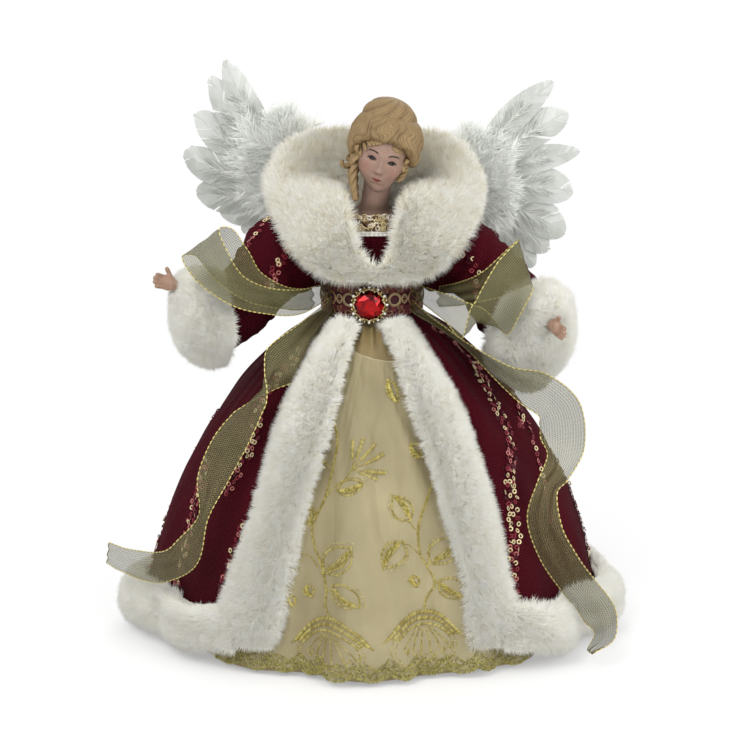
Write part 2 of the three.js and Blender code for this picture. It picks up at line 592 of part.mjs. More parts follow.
// Ribbons: wired organza strips. Each point has a place, the way that the width lies and a share of the width.
// They start on the belt, the loops above its middle and the tails below.
const beltMiddle = beltBottom + BELT_TALL / 2
const beltRoot = (side, rise) => {
  const angle = side * radians(50)
  const tilt = rise < 0 ? 0.1 : 0.7
  const radius = BELT_INSIDE + BELT_THICK + SEAT + tilt
  return [radius * Math.sin(angle), -radius * Math.cos(angle), beltMiddle + rise]
}
const atBelt = (x, y, rise) => [x, y, beltMiddle + rise]
const ribbons = {
  left_ribbon_loop: [
    [beltRoot(-1, 4.5), [0, 0, 1], 0.32],
    [atBelt(-40, -43, 1.5), [0, 0.35, 0.94], 0.55],
    [atBelt(-56, -56, 4.5), [0, 0.5, 0.87], 0.6],
    [atBelt(-72, -65, 11.5), [0.3, 0.5, 0.8], 0.7],
    [atBelt(-85, -66, 24.5), [0.7, 0.1, 0.6], 0.9],
    [atBelt(-91, -62, 36.5), [0.8, 0, 0.6], 1],
    [atBelt(-85, -57, 36.5), [0.8, -0.1, 0.6], 1],
    [atBelt(-76, -55, 24.5), [0.7, 0, 0.6], 0.95],
    [atBelt(-64, -52, 11.5), [0.4, 0.3, 0.85], 0.7],
    [atBelt(-46, -42, 3.5), [0, 0.4, 0.9], 0.5],
    [atBelt(-33, -27, 0.5), [0, 0.3, 0.95], 0.45],
  ],
  right_ribbon_loop: [
    [beltRoot(1, 4.5), [0, 0, 1], 0.32],
    [atBelt(41, -44, -1.5), [0.2, 0.3, 0.9], 0.55],
    [atBelt(54, -59, -7.5), [0.5, 0.3, 0.8], 0.8],
    [atBelt(63, -67, -4.5), [0.75, 0.1, -0.6], 1],
    [atBelt(69, -69, 6.5), [0.75, 0, -0.6], 1],
    [atBelt(76, -67, 18.5), [0.7, 0, -0.7], 1],
    [atBelt(82, -63, 26.5), [0.3, 0, -0.95], 1],
    [atBelt(77, -58, 22.5), [0.4, 0.1, -0.9], 0.9],
    [atBelt(64, -52, 12.5), [0.5, 0.2, -0.85], 0.7],
    [atBelt(49, -39, 5.5), [0.2, -0.1, -0.95], 0.5],
    [atBelt(37, -25, 1.5), [0, -0.1, -0.95], 0.45],
  ],
  left_ribbon_tail: [
    [beltRoot(-1, -5), [0, 0, 1], 0.3],
    [[-36, -46, 178], [0.7, -0.4, 0.4], 0.5],
    [[-48, -58, 165], [0.6, -0.3, 0.7], 0.4],
    [[-56, -63, 156], [0.3, -0.2, 0.9], 0.4],
    [[-66, -68, 142], [0.8, -0.5, 0.3], 0.8],
    [[-77, -73, 124], [0.85, -0.5, 0.1], 1],
    [[-86, -77, 104], [0.85, -0.5, 0], 0.8],
    [[-90, -82, 86], [0.6, -0.8, 0], 0.4],
    [[-99, -81, 66], [0.55, -0.5, -0.67], 0.7],
    [[-113, -72, 54], [0, 0.25, -0.95], 0.8],
    [[-129, -56, 49], [0, 0.3, -0.95], 0.8],
    [[-141, -45, 49], [-0.1, 0.5, -0.85], 0.8],
    [[-150, -38, 51], [-0.2, 0.6, -0.8], 0.8],
  ],
  right_ribbon_tail: [
    [beltRoot(1, -5), [0, 0, 1], 0.3],
    [[43, -36, 178], [-0.6, -0.4, 0.7], 0.6],
    [[62, -54, 164], [-0.5, -0.3, 0.8], 0.9],
    [[78, -64, 154], [-0.2, -0.3, 0.9], 0.9],
    [[92, -66, 149], [0.1, -0.2, 0.95], 1],
    [[102, -62, 138], [0.8, -0.2, 0.5], 1],
    [[104, -62, 121], [0.9, -0.4, -0.1], 1],
    [[101, -69, 109], [0.6, -0.5, -0.6], 0.7],
    [[95, -76, 100], [0.8, -0.5, -0.3], 0.5],
    [[93, -80, 82], [0.85, -0.5, 0], 0.8],
    [[101, -80, 62], [0.8, -0.5, 0.3], 0.9],
    [[113, -75, 44], [0.7, -0.5, 0.5], 0.9],
    [[125, -71, 27], [0.7, -0.5, 0.5], 0.9],
    [[128, -78, 16], [0.5, -0.8, 0.1], 0.7],
    [[119, -87, 10], [0.1, -0.95, 0.2], 0.5],
  ],
}
function ribbon(stations) {
  const centre = new THREE.CatmullRomCurve3(stations.map((s) => at(...s[0])), false, 'centripetal')
  const across = new THREE.CatmullRomCurve3(stations.map((s) => at(...s[1]).normalize().multiplyScalar(s[2])))
  const face = (lift) => steps(3 * (stations.length - 1)).map((u) => {
    const along = centre.getTangent(u)
    const wide = across.getPoint(u)
    const half = wide.length() * RIBBON_WIDTH / 2
    const side = wide.normalize()
    const normal = along.cross(side).normalize()
    return [1, 0, -1].map((share) => centre.getPoint(u)
      .addScaledVector(side, share * half)
      .addScaledVector(normal, lift))
  })
  return shell(face(RIBBON_THICK / 2), face(-RIBBON_THICK / 2))
}
for (const [name, stations] of Object.entries(ribbons)) {
  add(figure, name, ribbon(stations), OLIVE_GOLD, 0.5)
}

// Felt pad on the back that carries the two wing stems in upright sockets
const PAD_WIDE = 32
const PAD_DEEP = 14
const PAD_TALL = 20
const PAD_BOTTOM = TORSO_TOP - 22
const pad = new THREE.BoxGeometry(PAD_WIDE, PAD_DEEP, PAD_TALL)
  .translate(0, WING_PIVOT_Y - 2, PAD_BOTTOM + PAD_TALL / 2)
const STEM_RADIUS = 1.6
const stemSocket = (side) =>
  new THREE.CylinderGeometry(STEM_RADIUS + SEAT, STEM_RADIUS + SEAT, PAD_TALL + 4, 10)
    .rotateX(Math.PI / 2)
    .translate(side * WING_PIVOT_X, WING_PIVOT_Y, PAD_BOTTOM + 5 + (PAD_TALL + 4) / 2)
const backClear = loft(bodiceLoops(CLOTH + SEAT + 0.1))
add(figure, 'wing_pad', cut(pad, backClear, stemSocket(-1), stemSocket(1)), 0xd8d0bc, 0.95)

// Wings. The stem's first leg stands in the pad, so the wing sweeps about it.
// root and tips, the feathers' ends from the top feather to the lowest one, are (x, rise above the torso's top);
// down is the fluff's middle from the root (x, z) and its half width and half height.
const wingSpecs = [
  {
    name: 'left',
    side: -1,
    root: [-42, 21],
    tips: [[-86, 95], [-95, 84], [-104, 64], [-112, 40], [-105, 17], [-91, 4], [-78, -7]],
    down: [-8, 22, 25, 31],
  },
  {
    name: 'right',
    side: 1,
    root: [49, 16],
    tips: [[106, 83], [115, 65], [123, 42], [120, 18], [116, -7], [106, -18], [98, -28]],
    down: [8, 17, 22, 27],
  },
]
const WING_Y = 51
const FEATHER_THICK = 1.1

function feather(base, tip) {
  const along = tip.clone().sub(base)
  const long = along.length()
  along.normalize()
  const aside = along.clone().cross(at(0, 1, 0)).normalize()
  return loft([0, 0.1, 0.25, 0.45, 0.65, 0.8, 0.9, 0.96, 1].map((u) => {
    const vane = (1 - (1 - u) ** 2.2) * Math.sqrt(1 - u ** 5)
    const half = Math.max(0.7, FEATHER_HALF_WIDTH * vane)
    const middle = base.clone().addScaledVector(along, u * long).addScaledVector(aside, 4 * Math.sin(Math.PI * u))
    const thick = lerp(FEATHER_THICK, 0.5, u) / 2
    return oval(middle, aside, at(0, 1, 0), half, thick, 4)
  }))
}

function wing(spec) {
  const group = new THREE.Group()
  group.position.set(spec.side * WING_PIVOT_X, WING_PIVOT_Y, 0)
  figure.add(group)
  const rootX = spec.root[0] - group.position.x
  const rootY = WING_Y - WING_PIVOT_Y
  const root = at(rootX, rootY, TORSO_TOP + spec.root[1])
  const bundleDeep = 7 * FEATHER_PITCH + 1.5
  const bundle = new THREE.CylinderGeometry(WING_BUNDLE_RADIUS, WING_BUNDLE_RADIUS, bundleDeep, 14)
    .translate(root.x, root.y, root.z)
  const padTop = PAD_BOTTOM + PAD_TALL
  const stemLine = [
    at(0, 0, PAD_BOTTOM + 6),
    at(0, 0, padTop - 4),
    at(0, 0, padTop),
    at(spec.side * 2, 2.5, padTop + 5),
    at(rootX * 0.4, rootY * 0.6, root.z - 11),
    at(rootX, rootY, root.z),
  ]
  add(group, `${spec.name}_wing_stem`, join(tube(stemLine, STEM_RADIUS, 6, 20), bundle), 0xe8e4d8, 0.9)

  const [downX, downZ, downWide, downHigh] = spec.down
  const downPlace = [root.x + downX, root.y - bundleDeep / 2 - 4 - SEAT, root.z + downZ]
  add(group, `${spec.name}_wing_down`, ball(downPlace, downWide, 4, downHigh, 14, 8), FEATHER, 1)

  spec.tips.forEach(([x, rise], i) => {
    const layer = root.y + (i - 3) * FEATHER_PITCH
    const middle = at(root.x, layer, root.z)
    const tip = at(x - group.position.x, layer, TORSO_TOP + rise)
    const outward = tip.clone().sub(middle).normalize()
    const base = middle.addScaledVector(outward, WING_BUNDLE_RADIUS + SEAT + 0.4)
    add(group, `${spec.name}_wing_feather_${i + 1}`, feather(base, tip), FEATHER, 0.9)
  })
}
wingSpecs.forEach(wing)

export default figure
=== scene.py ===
import json
import math

import bmesh
import bpy
import numpy as np
from mathutils.kdtree import KDTree
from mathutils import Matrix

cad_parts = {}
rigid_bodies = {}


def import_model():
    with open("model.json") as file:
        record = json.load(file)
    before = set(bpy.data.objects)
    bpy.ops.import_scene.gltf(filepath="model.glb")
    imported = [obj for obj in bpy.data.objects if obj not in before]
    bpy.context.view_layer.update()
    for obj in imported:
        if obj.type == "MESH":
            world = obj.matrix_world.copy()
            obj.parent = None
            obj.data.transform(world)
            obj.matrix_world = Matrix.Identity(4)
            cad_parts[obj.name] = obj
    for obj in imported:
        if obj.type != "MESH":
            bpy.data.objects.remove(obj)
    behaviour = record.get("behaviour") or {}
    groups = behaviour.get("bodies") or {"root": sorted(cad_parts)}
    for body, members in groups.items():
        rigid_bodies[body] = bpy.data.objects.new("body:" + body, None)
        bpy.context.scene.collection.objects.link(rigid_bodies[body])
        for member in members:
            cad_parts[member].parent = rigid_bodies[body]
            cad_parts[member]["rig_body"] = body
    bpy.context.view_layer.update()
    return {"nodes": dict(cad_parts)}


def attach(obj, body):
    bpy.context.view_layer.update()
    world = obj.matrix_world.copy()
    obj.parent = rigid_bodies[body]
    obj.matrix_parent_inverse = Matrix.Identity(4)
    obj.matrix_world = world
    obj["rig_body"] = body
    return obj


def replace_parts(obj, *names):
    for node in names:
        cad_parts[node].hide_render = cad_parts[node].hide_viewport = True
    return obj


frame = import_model()

# Lengths are millimetres in the solids' frame: +Z up, the figure faces -Y, left is the viewer's left.
MM = 0.001
CLOTH = 1.0
FLARE_HEIGHT = 184
BAND_TOP = 203
BAND_SHARE = 0.1
SKIRT_WAIST = 23.3
SKIRT_HEM_RADIUS = 117
SKIRT_DEPTH = 0.9
COAT_WAIST = 25.9
COAT_HEM_RADIUS = 130
COAT_DEPTH = 0.81
FOLD_DEPTH = 3.2
FOLDS = 9
SMALL_FOLDS = 14
BELT_RADIUS = 29.3
BELT_BOTTOM = 185.5
BELT_TALL = 18
TORSO_TOP = 229
SEAM_ANGLE = math.radians(110)
RIBBON_WIDTH = 25
FUR_LIFT = 1.8
PILE_HAIRS = 64000
SEQUIN_PITCH = 3.1

FIGURE = "figure"
TAU = 2 * math.pi
THIRDS = (0, TAU / 3, 2 * TAU / 3)


# Numbers and lines

def lerp(a, b, t):
    """The value a share t of the way from a to b."""
    return a + (b - a) * t


def smoothstep(x, low, high):
    """0 below low, 1 above high and an even S between."""
    t = np.clip((x - low) / (high - low), 0, 1)
    return t * t * (3 - 2 * t)


def length_of(v):
    """The lengths of vectors."""
    return np.linalg.norm(v, axis=-1, keepdims=True)


def unit(v):
    """The vectors at a length of one."""
    return v / np.maximum(length_of(v), 1e-9)


def point(x, y, z):
    """Points from three coordinates, each a number or a grid."""
    return np.stack(np.broadcast_arrays(x, y, z), -1).astype(float)


def turns(count):
    """Evenly spaced angles once round a circle."""
    return np.arange(count) / count * TAU


def run_along(line):
    """The length of a line up to each of its points."""
    return np.concatenate([[0], np.cumsum(np.linalg.norm(np.diff(line, axis=0), axis=1))])


def on_line(places, run, line):
    """The values of a line at the given places along its run."""
    return np.stack([np.interp(places, run, line[:, k]) for k in range(line.shape[1])], -1)


def linear(rgb):
    """A colour written as 0 to 255 per channel, in the renderer's linear values."""
    c = np.asarray(rgb, float) / 255
    return np.where(c <= 0.04045, c / 12.92, ((c + 0.055) / 1.055) ** 2.4)


def ripples(seed, *places):
    """A smooth uneven field from -1 to 1 or so, one unit of each place per bump."""
    draw = np.random.default_rng(seed)
    waves = 6
    total = 0
    for _ in range(waves):
        pitch = draw.normal(1.5, 1.2, len(places)) * draw.choice([-1, 1], len(places))
        total = total + np.sin(sum(k * p for k, p in zip(pitch, places)) + draw.uniform(0, TAU))
    return total / math.sqrt(waves)


def smooth_line(stations, count):
    """count + 1 points on a smooth line through the stations, evenly shared between them."""
    given = np.asarray(stations, float)
    full = np.vstack([2 * given[0] - given[1], given, 2 * given[-1] - given[-2]])
    place = np.linspace(0, len(given) - 1, count + 1)
    first = np.minimum(place.astype(int), len(given) - 2)
    t = (place - first)[:, None]
    a, b, c, d = (full[first + i] for i in range(4))
    ab, bc, cd = (np.maximum(length_of(q - p) ** 0.5, 1e-4) for p, q in ((a, b), (b, c), (c, d)))
    leave = ((b - a) / ab - (c - a) / (ab + bc) + (c - b) / bc) * bc
    arrive = ((c - b) / bc - (d - b) / (bc + cd) + (d - c) / cd) * bc
    near = (2 * t**3 - 3 * t**2 + 1) * b + (t**3 - 2 * t**2 + t) * leave
    return near + (3 * t**2 - 2 * t**3) * c + (t**3 - t**2) * arrive


def even_line(stations, spacing):
    """Points a fixed distance apart on the smooth line through the stations."""
    fine = smooth_line(stations, 24 * len(stations))
    run = run_along(fine)
    return on_line(np.linspace(0, run[-1], max(3, int(run[-1] / spacing) + 1)), run, fine)


# Meshes

def grid_quads(rows, columns, wrap=False):
    """The faces of a grid of points, closed round if wrap."""
    wide = columns if wrap else columns - 1
    r, c = np.meshgrid(np.arange(rows - 1), np.arange(wide), indexing="ij")
    r, c = r.ravel(), c.ravel()
    d = (c + 1) % columns
    return np.stack([r * columns + c, r * columns + d, (r + 1) * columns + d, (r + 1) * columns + c], 1)


class Body:
    """The points and faces of one piece, gathered from any number of small bodies."""

    def __init__(self):
        self.points, self.faces, self.slots, self.paint, self.flat = [], [], [], [], []
        self.count = 0

    def add(self, points, faces, slot=0, paint=None, flat=None):
        """Points and their faces; paint has each point's colour and flat its place on the flat cloth."""
        points = np.asarray(points, float).reshape(-1, 3)
        for polygons in faces:
            self.faces.append(polygons + self.count)
            self.slots.append(np.full(len(polygons), slot))
        self.points.append(points)
        if paint is not None:
            self.paint.append(np.broadcast_to(np.asarray(paint, float), points.shape))
        if flat is not None:
            self.flat.append(np.asarray(flat, float).reshape(-1, 2))
        self.count += len(points)

    def repeat(self, copies, faces, slots):
        """copies is (how many, points of each, 3); slots is one number for each copy."""
        many, each = copies.shape[:2]
        shift = self.count + each * np.arange(many)[:, None, None]
        for polygons in faces:
            self.faces.append((polygons[None] + shift).reshape(-1, polygons.shape[1]))
            self.slots.append(np.repeat(slots, len(polygons)))
        self.points.append(copies.reshape(-1, 3))
        self.count += many * each

    def build(self, name, body, materials):
        """The mesh as an object that rides on a body."""
        points = np.concatenate(self.points) * MM
        counts = np.concatenate([np.full(len(f), f.shape[1]) for f in self.faces])
        corners = np.concatenate([f.ravel() for f in self.faces])
        mesh = bpy.data.meshes.new(name)
        mesh.vertices.add(len(points))
        mesh.vertices.foreach_set("co", points.ravel())
        mesh.loops.add(len(corners))
        mesh.loops.foreach_set("vertex_index", corners.astype(np.int32))
        mesh.polygons.add(len(counts))
        starts = np.concatenate([[0], np.cumsum(counts)[:-1]])
        mesh.polygons.foreach_set("loop_start", starts.astype(np.int32))
        for material in materials:
            mesh.materials.append(material)
        mesh.polygons.foreach_set("material_index", np.concatenate(self.slots).astype(np.int32))
        mesh.polygons.foreach_set("use_smooth", np.full(len(counts), True))
        mesh.update(calc_edges=True)
        if self.flat:
            layer = mesh.uv_layers.new(name="cloth")
            spread = (np.concatenate(self.flat) * MM)[corners]
            layer.uv.foreach_set("vector", spread.astype(np.float32).ravel())
        if self.paint:
            colours = np.ones((len(points), 4), np.float32)
            colours[:, :3] = np.concatenate(self.paint)
            layer = mesh.color_attributes.new("paint", "FLOAT_COLOR", "POINT")
            layer.data.foreach_set("color", colours.ravel())
        thing = bpy.data.objects.new(name, mesh)
        bpy.context.scene.collection.objects.link(thing)
        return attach(thing, body)

    def make(self, name, body, materials, finish, node=None):
        """The built piece, in place of a solid if one is named; finish is not used."""
        piece = self.build(name, body, materials)
        if node:
            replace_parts(piece, node)
        return piece


def add_shell(body, outside, inside, wrap=False, flat=None):
    """A closed sheet between two grids of points."""
    rows, columns = outside.shape[:2]
    half = rows * columns
    quads = grid_quads(rows, columns, wrap)
    faces = [quads[:, ::-1], quads + half]
    columns_round = np.arange(columns if wrap else columns - 1)
    after = (columns_round + 1) % columns
    last = (rows - 1) * columns
    faces.append(np.stack([columns_round, after, after + half, columns_round + half], 1))
    faces.append(np.stack([columns_round, columns_round + half, after + half, after], 1) + last)
    if not wrap:
        down = np.arange(rows - 1) * columns
        left = np.stack([down, down + half, down + columns + half, down + columns], 1)
        faces += [left, left[:, ::-1] + columns - 1]
    both = None if flat is None else np.concatenate([flat.reshape(-1, 2)] * 2)
    body.add(np.concatenate([outside.reshape(-1, 3), inside.reshape(-1, 3)]), faces, flat=both)


def add_tube(body, line, radius, sides=6, slot=0, paint=None, squash=1.0, out=None):
    """A round or flattened cord along a line; its ends are drawn to a point if the radius is. paint, if
    given, is a shaded and a lit colour: the side towards out is painted lighter as painted highlight, the far
    side darker as painted shade.
    """
    line = np.asarray(line, float)
    along = unit(np.gradient(line, axis=0))
    if out is None:
        out = np.zeros_like(line)
        side = unit(np.cross(along[0], [0.3, 0.5, 0.81]))
        for i, way in enumerate(along):
            side = unit(side - way * np.dot(side, way))
            out[i] = side
    else:
        out = unit(out - along * (out * along).sum(1, keepdims=True))
    across = np.cross(along, out)
    turn = turns(sides)
    radius = np.broadcast_to(radius, len(line))[:, None, None]
    ring = np.cos(turn)[None, :, None] * across[:, None] + squash * np.sin(turn)[None, :, None] * out[:, None]
    points = line[:, None] + radius * ring
    if paint is not None:
        dark, light = paint
        # Painted highlight and shade: the colour runs from the shaded one on the far side to the lit one on
        # the side towards out.
        lit_share = np.tile(0.5 + 0.5 * np.sin(turn), len(line))[:, None]
        paint = lerp(np.asarray(dark), np.asarray(light), lit_share**0.7)
    caps = [np.arange(sides)[None, ::-1], (len(line) - 1) * sides + np.arange(sides)[None]]
    body.add(points, [grid_quads(len(line), sides, True)[:, ::-1]] + caps, slot, paint)


def smooth_copy(name, body, node, voxel, rounds, material):
    """A rounded copy of a solid, for cast or felted pieces."""
    source = frame["nodes"][node]
    copy = bpy.data.objects.new(name, source.data.copy())
    copy.data.materials.clear()
    bpy.context.scene.collection.objects.link(copy)
    remesh = copy.modifiers.new("remesh", "REMESH")
    remesh.mode = "VOXEL"
    remesh.voxel_size = voxel * MM
    soften = copy.modifiers.new("soften", "SMOOTH")
    soften.iterations = rounds
    soften.factor = 0.5
    depsgraph = bpy.context.evaluated_depsgraph_get()
    mesh = bpy.data.meshes.new_from_object(copy.evaluated_get(depsgraph))
    copy.modifiers.clear()
    copy.data = mesh
    mesh.materials.append(material)
    mesh.shade_smooth()
    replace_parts(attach(copy, body), node)
    return copy


# Materials

class Wiring:
    """Short calls for a node tree."""

    def __init__(self, tree):
        self.tree = tree

    def node(self, kind, inputs=None, **settings):
        """A new node; its inputs are constants or the sockets of other nodes."""
        made = self.tree.nodes.new(kind)
        for key, value in settings.items():
            setattr(made, key, value)
        for key, value in (inputs or {}).items():
            if isinstance(value, bpy.types.NodeSocket):
                self.tree.links.new(value, made.inputs[key])
            else:
                made.inputs[key].default_value = value
        return made

    def math(self, operation, *values):
        """The result of a sum on values or sockets."""
        return self.node("ShaderNodeMath", dict(enumerate(values)), operation=operation).outputs[0]

    def mix(self, share, low, high):
        """A colour a share of the way from low to high."""
        ends = {0: share}
        for key, value in ((6, low), (7, high)):
            ends[key] = value if isinstance(value, bpy.types.NodeSocket) else (*linear(value), 1)
        return self.node("ShaderNodeMix", ends, data_type="RGBA").outputs[2]

    def group(self, tree, **inputs):
        """The results of a node group."""
        return self.node("ShaderNodeGroup", inputs, node_tree=tree).outputs

    def link(self, value, socket):
        """Wire a value to a socket."""
        self.tree.links.new(value, socket)

    def seen(self):
        """1 for what the camera sees directly, in a reflection or through glass, and 0 for plain light."""
        path = self.node("ShaderNodeLightPath").outputs
        mirrored = self.math("MAXIMUM", path["Is Glossy Ray"], path["Is Transmission Ray"])
        return self.math("MAXIMUM", path["Is Camera Ray"], mirrored)


def effect(name, inputs, outputs):
    """An empty shader node group with named values in and out."""
    tree = bpy.data.node_groups.new(name, "ShaderNodeTree")
    for key in inputs:
        tree.interface.new_socket(key, in_out="INPUT", socket_type="NodeSocketFloat")
    for key in outputs:
        tree.interface.new_socket(key, in_out="OUTPUT", socket_type="NodeSocketFloat")
    wiring = Wiring(tree)
    return tree, wiring, wiring.node("NodeGroupInput").outputs, wiring.node("NodeGroupOutput").inputs


def make_weave():
    """Plain weave over the cloth's own flat map: the height of the threads and the gaps between them."""
    tree, w, given, result = effect("plain_weave", ["Threads"], ["Height", "Gap"])
    cloth = w.node("ShaderNodeUVMap", uv_map="cloth").outputs[0]
    parts = w.node("ShaderNodeSeparateXYZ", {0: cloth}).outputs
    warp = w.math("MULTIPLY", parts[0], given["Threads"])
    weft = w.math("MULTIPLY", parts[1], given["Threads"])
    humps = [w.math("ABSOLUTE", w.math("SINE", w.math("MULTIPLY", t, math.pi))) for t in (warp, weft)]
    crossing = w.math("ADD", w.math("FLOOR", warp), w.math("FLOOR", weft))
    over = w.math("FLOORED_MODULO", crossing, 2.0)
    upper = w.math("MULTIPLY", humps[0], over)
    lower = w.math("MULTIPLY", humps[1], w.math("SUBTRACT", 1.0, over))
    w.link(w.math("ADD", upper, lower), result["Height"])
    w.link(w.math("SUBTRACT", 1.0, w.math("MAXIMUM", *humps)), result["Gap"])
    return tree


def make_mottle():
    """Soft uneven shade over the piece, from Low to High; Stretch draws it out downwards."""
    tree, w, given, result = effect("mottle", ["Scale", "Stretch", "Low", "High"], ["Shade"])
    place = w.node("ShaderNodeTexCoord").outputs["Object"]
    stretch = w.node("ShaderNodeCombineXYZ", {0: 1.0, 1: 1.0, 2: given["Stretch"]}).outputs[0]
    drawn = w.node("ShaderNodeVectorMath", {0: place, 1: stretch}, operation="MULTIPLY").outputs[0]
    noise = w.node("ShaderNodeTexNoise", {"Vector": drawn, "Scale": given["Scale"], "Detail": 4.0}).outputs[0]
    spread = {0: noise, 1: 0.32, 2: 0.68, 3: given["Low"], 4: given["High"]}
    w.link(w.node("ShaderNodeMapRange", spread).outputs[0], result["Shade"])
    return tree


WEAVE = make_weave()
MOTTLE = make_mottle()


def plain(name, colour, roughness, metallic=0.0, **sockets):
    """A principled material with constant values, its wiring and its shader."""
    material = bpy.data.materials.new(name)
    material.use_nodes = True
    shader = material.node_tree.nodes["Principled BSDF"]
    shader.inputs["Base Color"].default_value = (*linear(colour), 1)
    shader.inputs["Roughness"].default_value = roughness
    shader.inputs["Metallic"].default_value = metallic
    for key, value in sockets.items():
        socket = shader.inputs[key.replace("_", " ")]
        socket.default_value = (*linear(value), 1) if isinstance(value, tuple) else value
    return material, Wiring(material.node_tree), shader


def tints(name, colours, roughness, metallic=0.0, **sockets):
    """One material for each colour, for hairs, barbs, stitches and sequins that differ one by one."""
    return [plain(f"{name}_{i + 1}", c, roughness, metallic, **sockets)[0] for i, c in enumerate(colours)]


def mottled(name, low, high, roughness, scale, stretch=1.0, metallic=0.0, bump=0.0, **sockets):
    """A material whose shade drifts between two colours, with the same drift as fine relief."""
    material, w, shader = plain(name, high, roughness, metallic, **sockets)
    shade = w.group(MOTTLE, Scale=scale, Stretch=stretch, Low=0.0, High=1.0)["Shade"]
    w.link(w.mix(shade, low, high), shader.inputs["Base Color"])
    rough = w.math("ADD", roughness - 0.06, w.math("MULTIPLY", shade, 0.12))
    w.link(rough, shader.inputs["Roughness"])
    if bump:
        relief = {"Strength": 0.6, "Distance": bump * MM, "Height": shade}
        w.link(w.node("ShaderNodeBump", relief).outputs[0], shader.inputs["Normal"])
    return material


def woven(name, low, high, roughness, threads, scale, stretch, relief, drift, metallic=0.0, sheer=None,
          **sockets):
    """Woven cloth: threads a fixed distance apart with painted shade between them, uneven dye by drift, and
    see-through gaps if sheer.
    """
    material, w, shader = plain(name, high, roughness, metallic, **sockets)
    weave = w.group(WEAVE, Threads=threads)
    dye = w.group(MOTTLE, Scale=scale, Stretch=stretch, Low=0.0, High=1.0)["Shade"]
    # Painted shade and highlight: the colour follows the threads' height, lighter on their tops and darker in
    # the hollows between them, mixed with the uneven dye.
    share = w.math("ADD", w.math("MULTIPLY", weave["Height"], 1 - drift), w.math("MULTIPLY", dye, drift))
    w.link(w.mix(share, low, high), shader.inputs["Base Color"])
    bump = {"Strength": 0.7, "Distance": relief * MM, "Height": weave["Height"]}
    w.link(w.node("ShaderNodeBump", bump).outputs[0], shader.inputs["Normal"])
    if sheer:
        spread = {0: weave["Height"], 1: 0.0, 2: 1.0, 3: sheer[0], 4: sheer[1]}
        w.link(w.node("ShaderNodeMapRange", spread).outputs[0], shader.inputs["Alpha"])
    return material


def painted(name, roughness, scale, **sockets):
    """Paint on a casting: colours brushed on by place, slightly uneven."""
    material, w, shader = plain(name, (200, 180, 170), roughness, **sockets)
    colour = w.node("ShaderNodeVertexColor", layer_name="paint").outputs[0]
    shade = w.group(MOTTLE, Scale=scale, Stretch=1.0, Low=0.0, High=1.0)["Shade"]
    darker = {0: 1.0, 6: colour, 7: (0.86, 0.84, 0.82, 1)}
    deep = w.node("ShaderNodeMix", darker, data_type="RGBA", blend_type="MULTIPLY")
    w.link(w.mix(shade, deep.outputs[2], colour), shader.inputs["Base Color"])
    bump = {"Strength": 0.3, "Distance": 0.05 * MM, "Height": shade}
    w.link(w.node("ShaderNodeBump", bump).outputs[0], shader.inputs["Normal"])
    return material


BURGUNDY = woven("burgundy_cloth", (22, 1, 6), (78, 6, 21), roughness=0.9, threads=640, scale=45, stretch=0.3,
                 relief=0.6, drift=0.25, Specular_IOR_Level=0.1)
SATIN = woven("champagne_satin", (106, 87, 52), (164, 147, 102), roughness=0.36, threads=2600, scale=30,
              stretch=0.5, relief=0.06, drift=0.35)
ORGANZA = woven("skirt_organza", (98, 86, 52), (196, 184, 144), roughness=0.36, threads=2600, scale=22,
                stretch=0.8, relief=0.1, drift=0.4, sheer=(0.5, 0.88))
RIBBON = woven("ribbon_organza", (44, 41, 22), (120, 116, 78), roughness=0.36, threads=900, scale=90,
               stretch=1, relief=0.3, drift=0.12, metallic=0.45, sheer=(0.3, 0.82))
PELT = mottled("fur_backing", (224, 220, 205), (238, 236, 226), 0.95, 320, bump=0.4)
FUR_TINTS = tints("fur_pile", [(250, 249, 240), (247, 245, 233), (240, 236, 220), (252, 251, 245)],
                  0.9, Sheen_Weight=0.3)
FUR_SHADE = tints("fur_shade", [(234, 231, 216), (226, 219, 197), (214, 204, 174), (238, 236, 226)],
                  0.9, Sheen_Weight=0.3)
DOWN_TINTS = tints("down_pile", [(240, 242, 238), (243, 245, 241), (234, 236, 229), (237, 235, 225)],
                   0.9, Sheen_Weight=0.6)
VANES = [mottled("feather_vane", (182, 185, 180), (208, 211, 206), 0.6, 60, 0.5),
         mottled("feather_vane_shade", (172, 175, 169), (198, 201, 195), 0.6, 60, 0.5)]
QUILL = mottled("feather_quill", (192, 192, 184), (212, 212, 205), 0.5, 300)
SKIN = painted("painted_skin", 0.55, 260, Specular_IOR_Level=0.15)
HAIR = painted("painted_hair", 0.6, 420, Specular_IOR_Level=0.3)
HAND = mottled("hand_resin", (134, 104, 84), (162, 131, 111), 0.5, 180)
GOLD_STITCH = tints("gold_stitch", [(200, 184, 96), (222, 210, 134), (166, 148, 66)], 0.4, 0.25)
OLIVE_STITCH = tints("olive_stitch", [(160, 151, 82), (186, 177, 106), (132, 125, 64)], 0.42, 0.25)
DARK_STITCH = tints("dark_stitch", [(40, 6, 14), (58, 10, 20), (30, 4, 10)], 0.6)
WIRE_EDGE = tints("ribbon_edge", [(208, 194, 120), (124, 108, 60)], 0.34, 0.6)
SEQUINS = tints("sequin", [(140, 40, 54), (196, 116, 112), (236, 214, 168), (84, 16, 30)], 0.2, 0.45)
LACE = mottled("belt_lace", (40, 4, 12), (80, 14, 27), 0.75, 500, bump=0.5)
BRAID = tints("braid_thread", [(122, 52, 56), (170, 144, 100), (50, 7, 15), (196, 178, 140)], 0.45, 0.3)
NECK_BRAID = tints("neck_braid", [(196, 176, 134), (96, 66, 44), (238, 232, 216), (214, 196, 152)], 0.32, 0.5)
WHITE_CORD = mottled("white_cord", (226, 222, 212), (246, 245, 240), 0.8, 600)
GILT = mottled("pale_gilt", (186, 166, 118), (232, 220, 184), 0.24, 260, metallic=1.0)
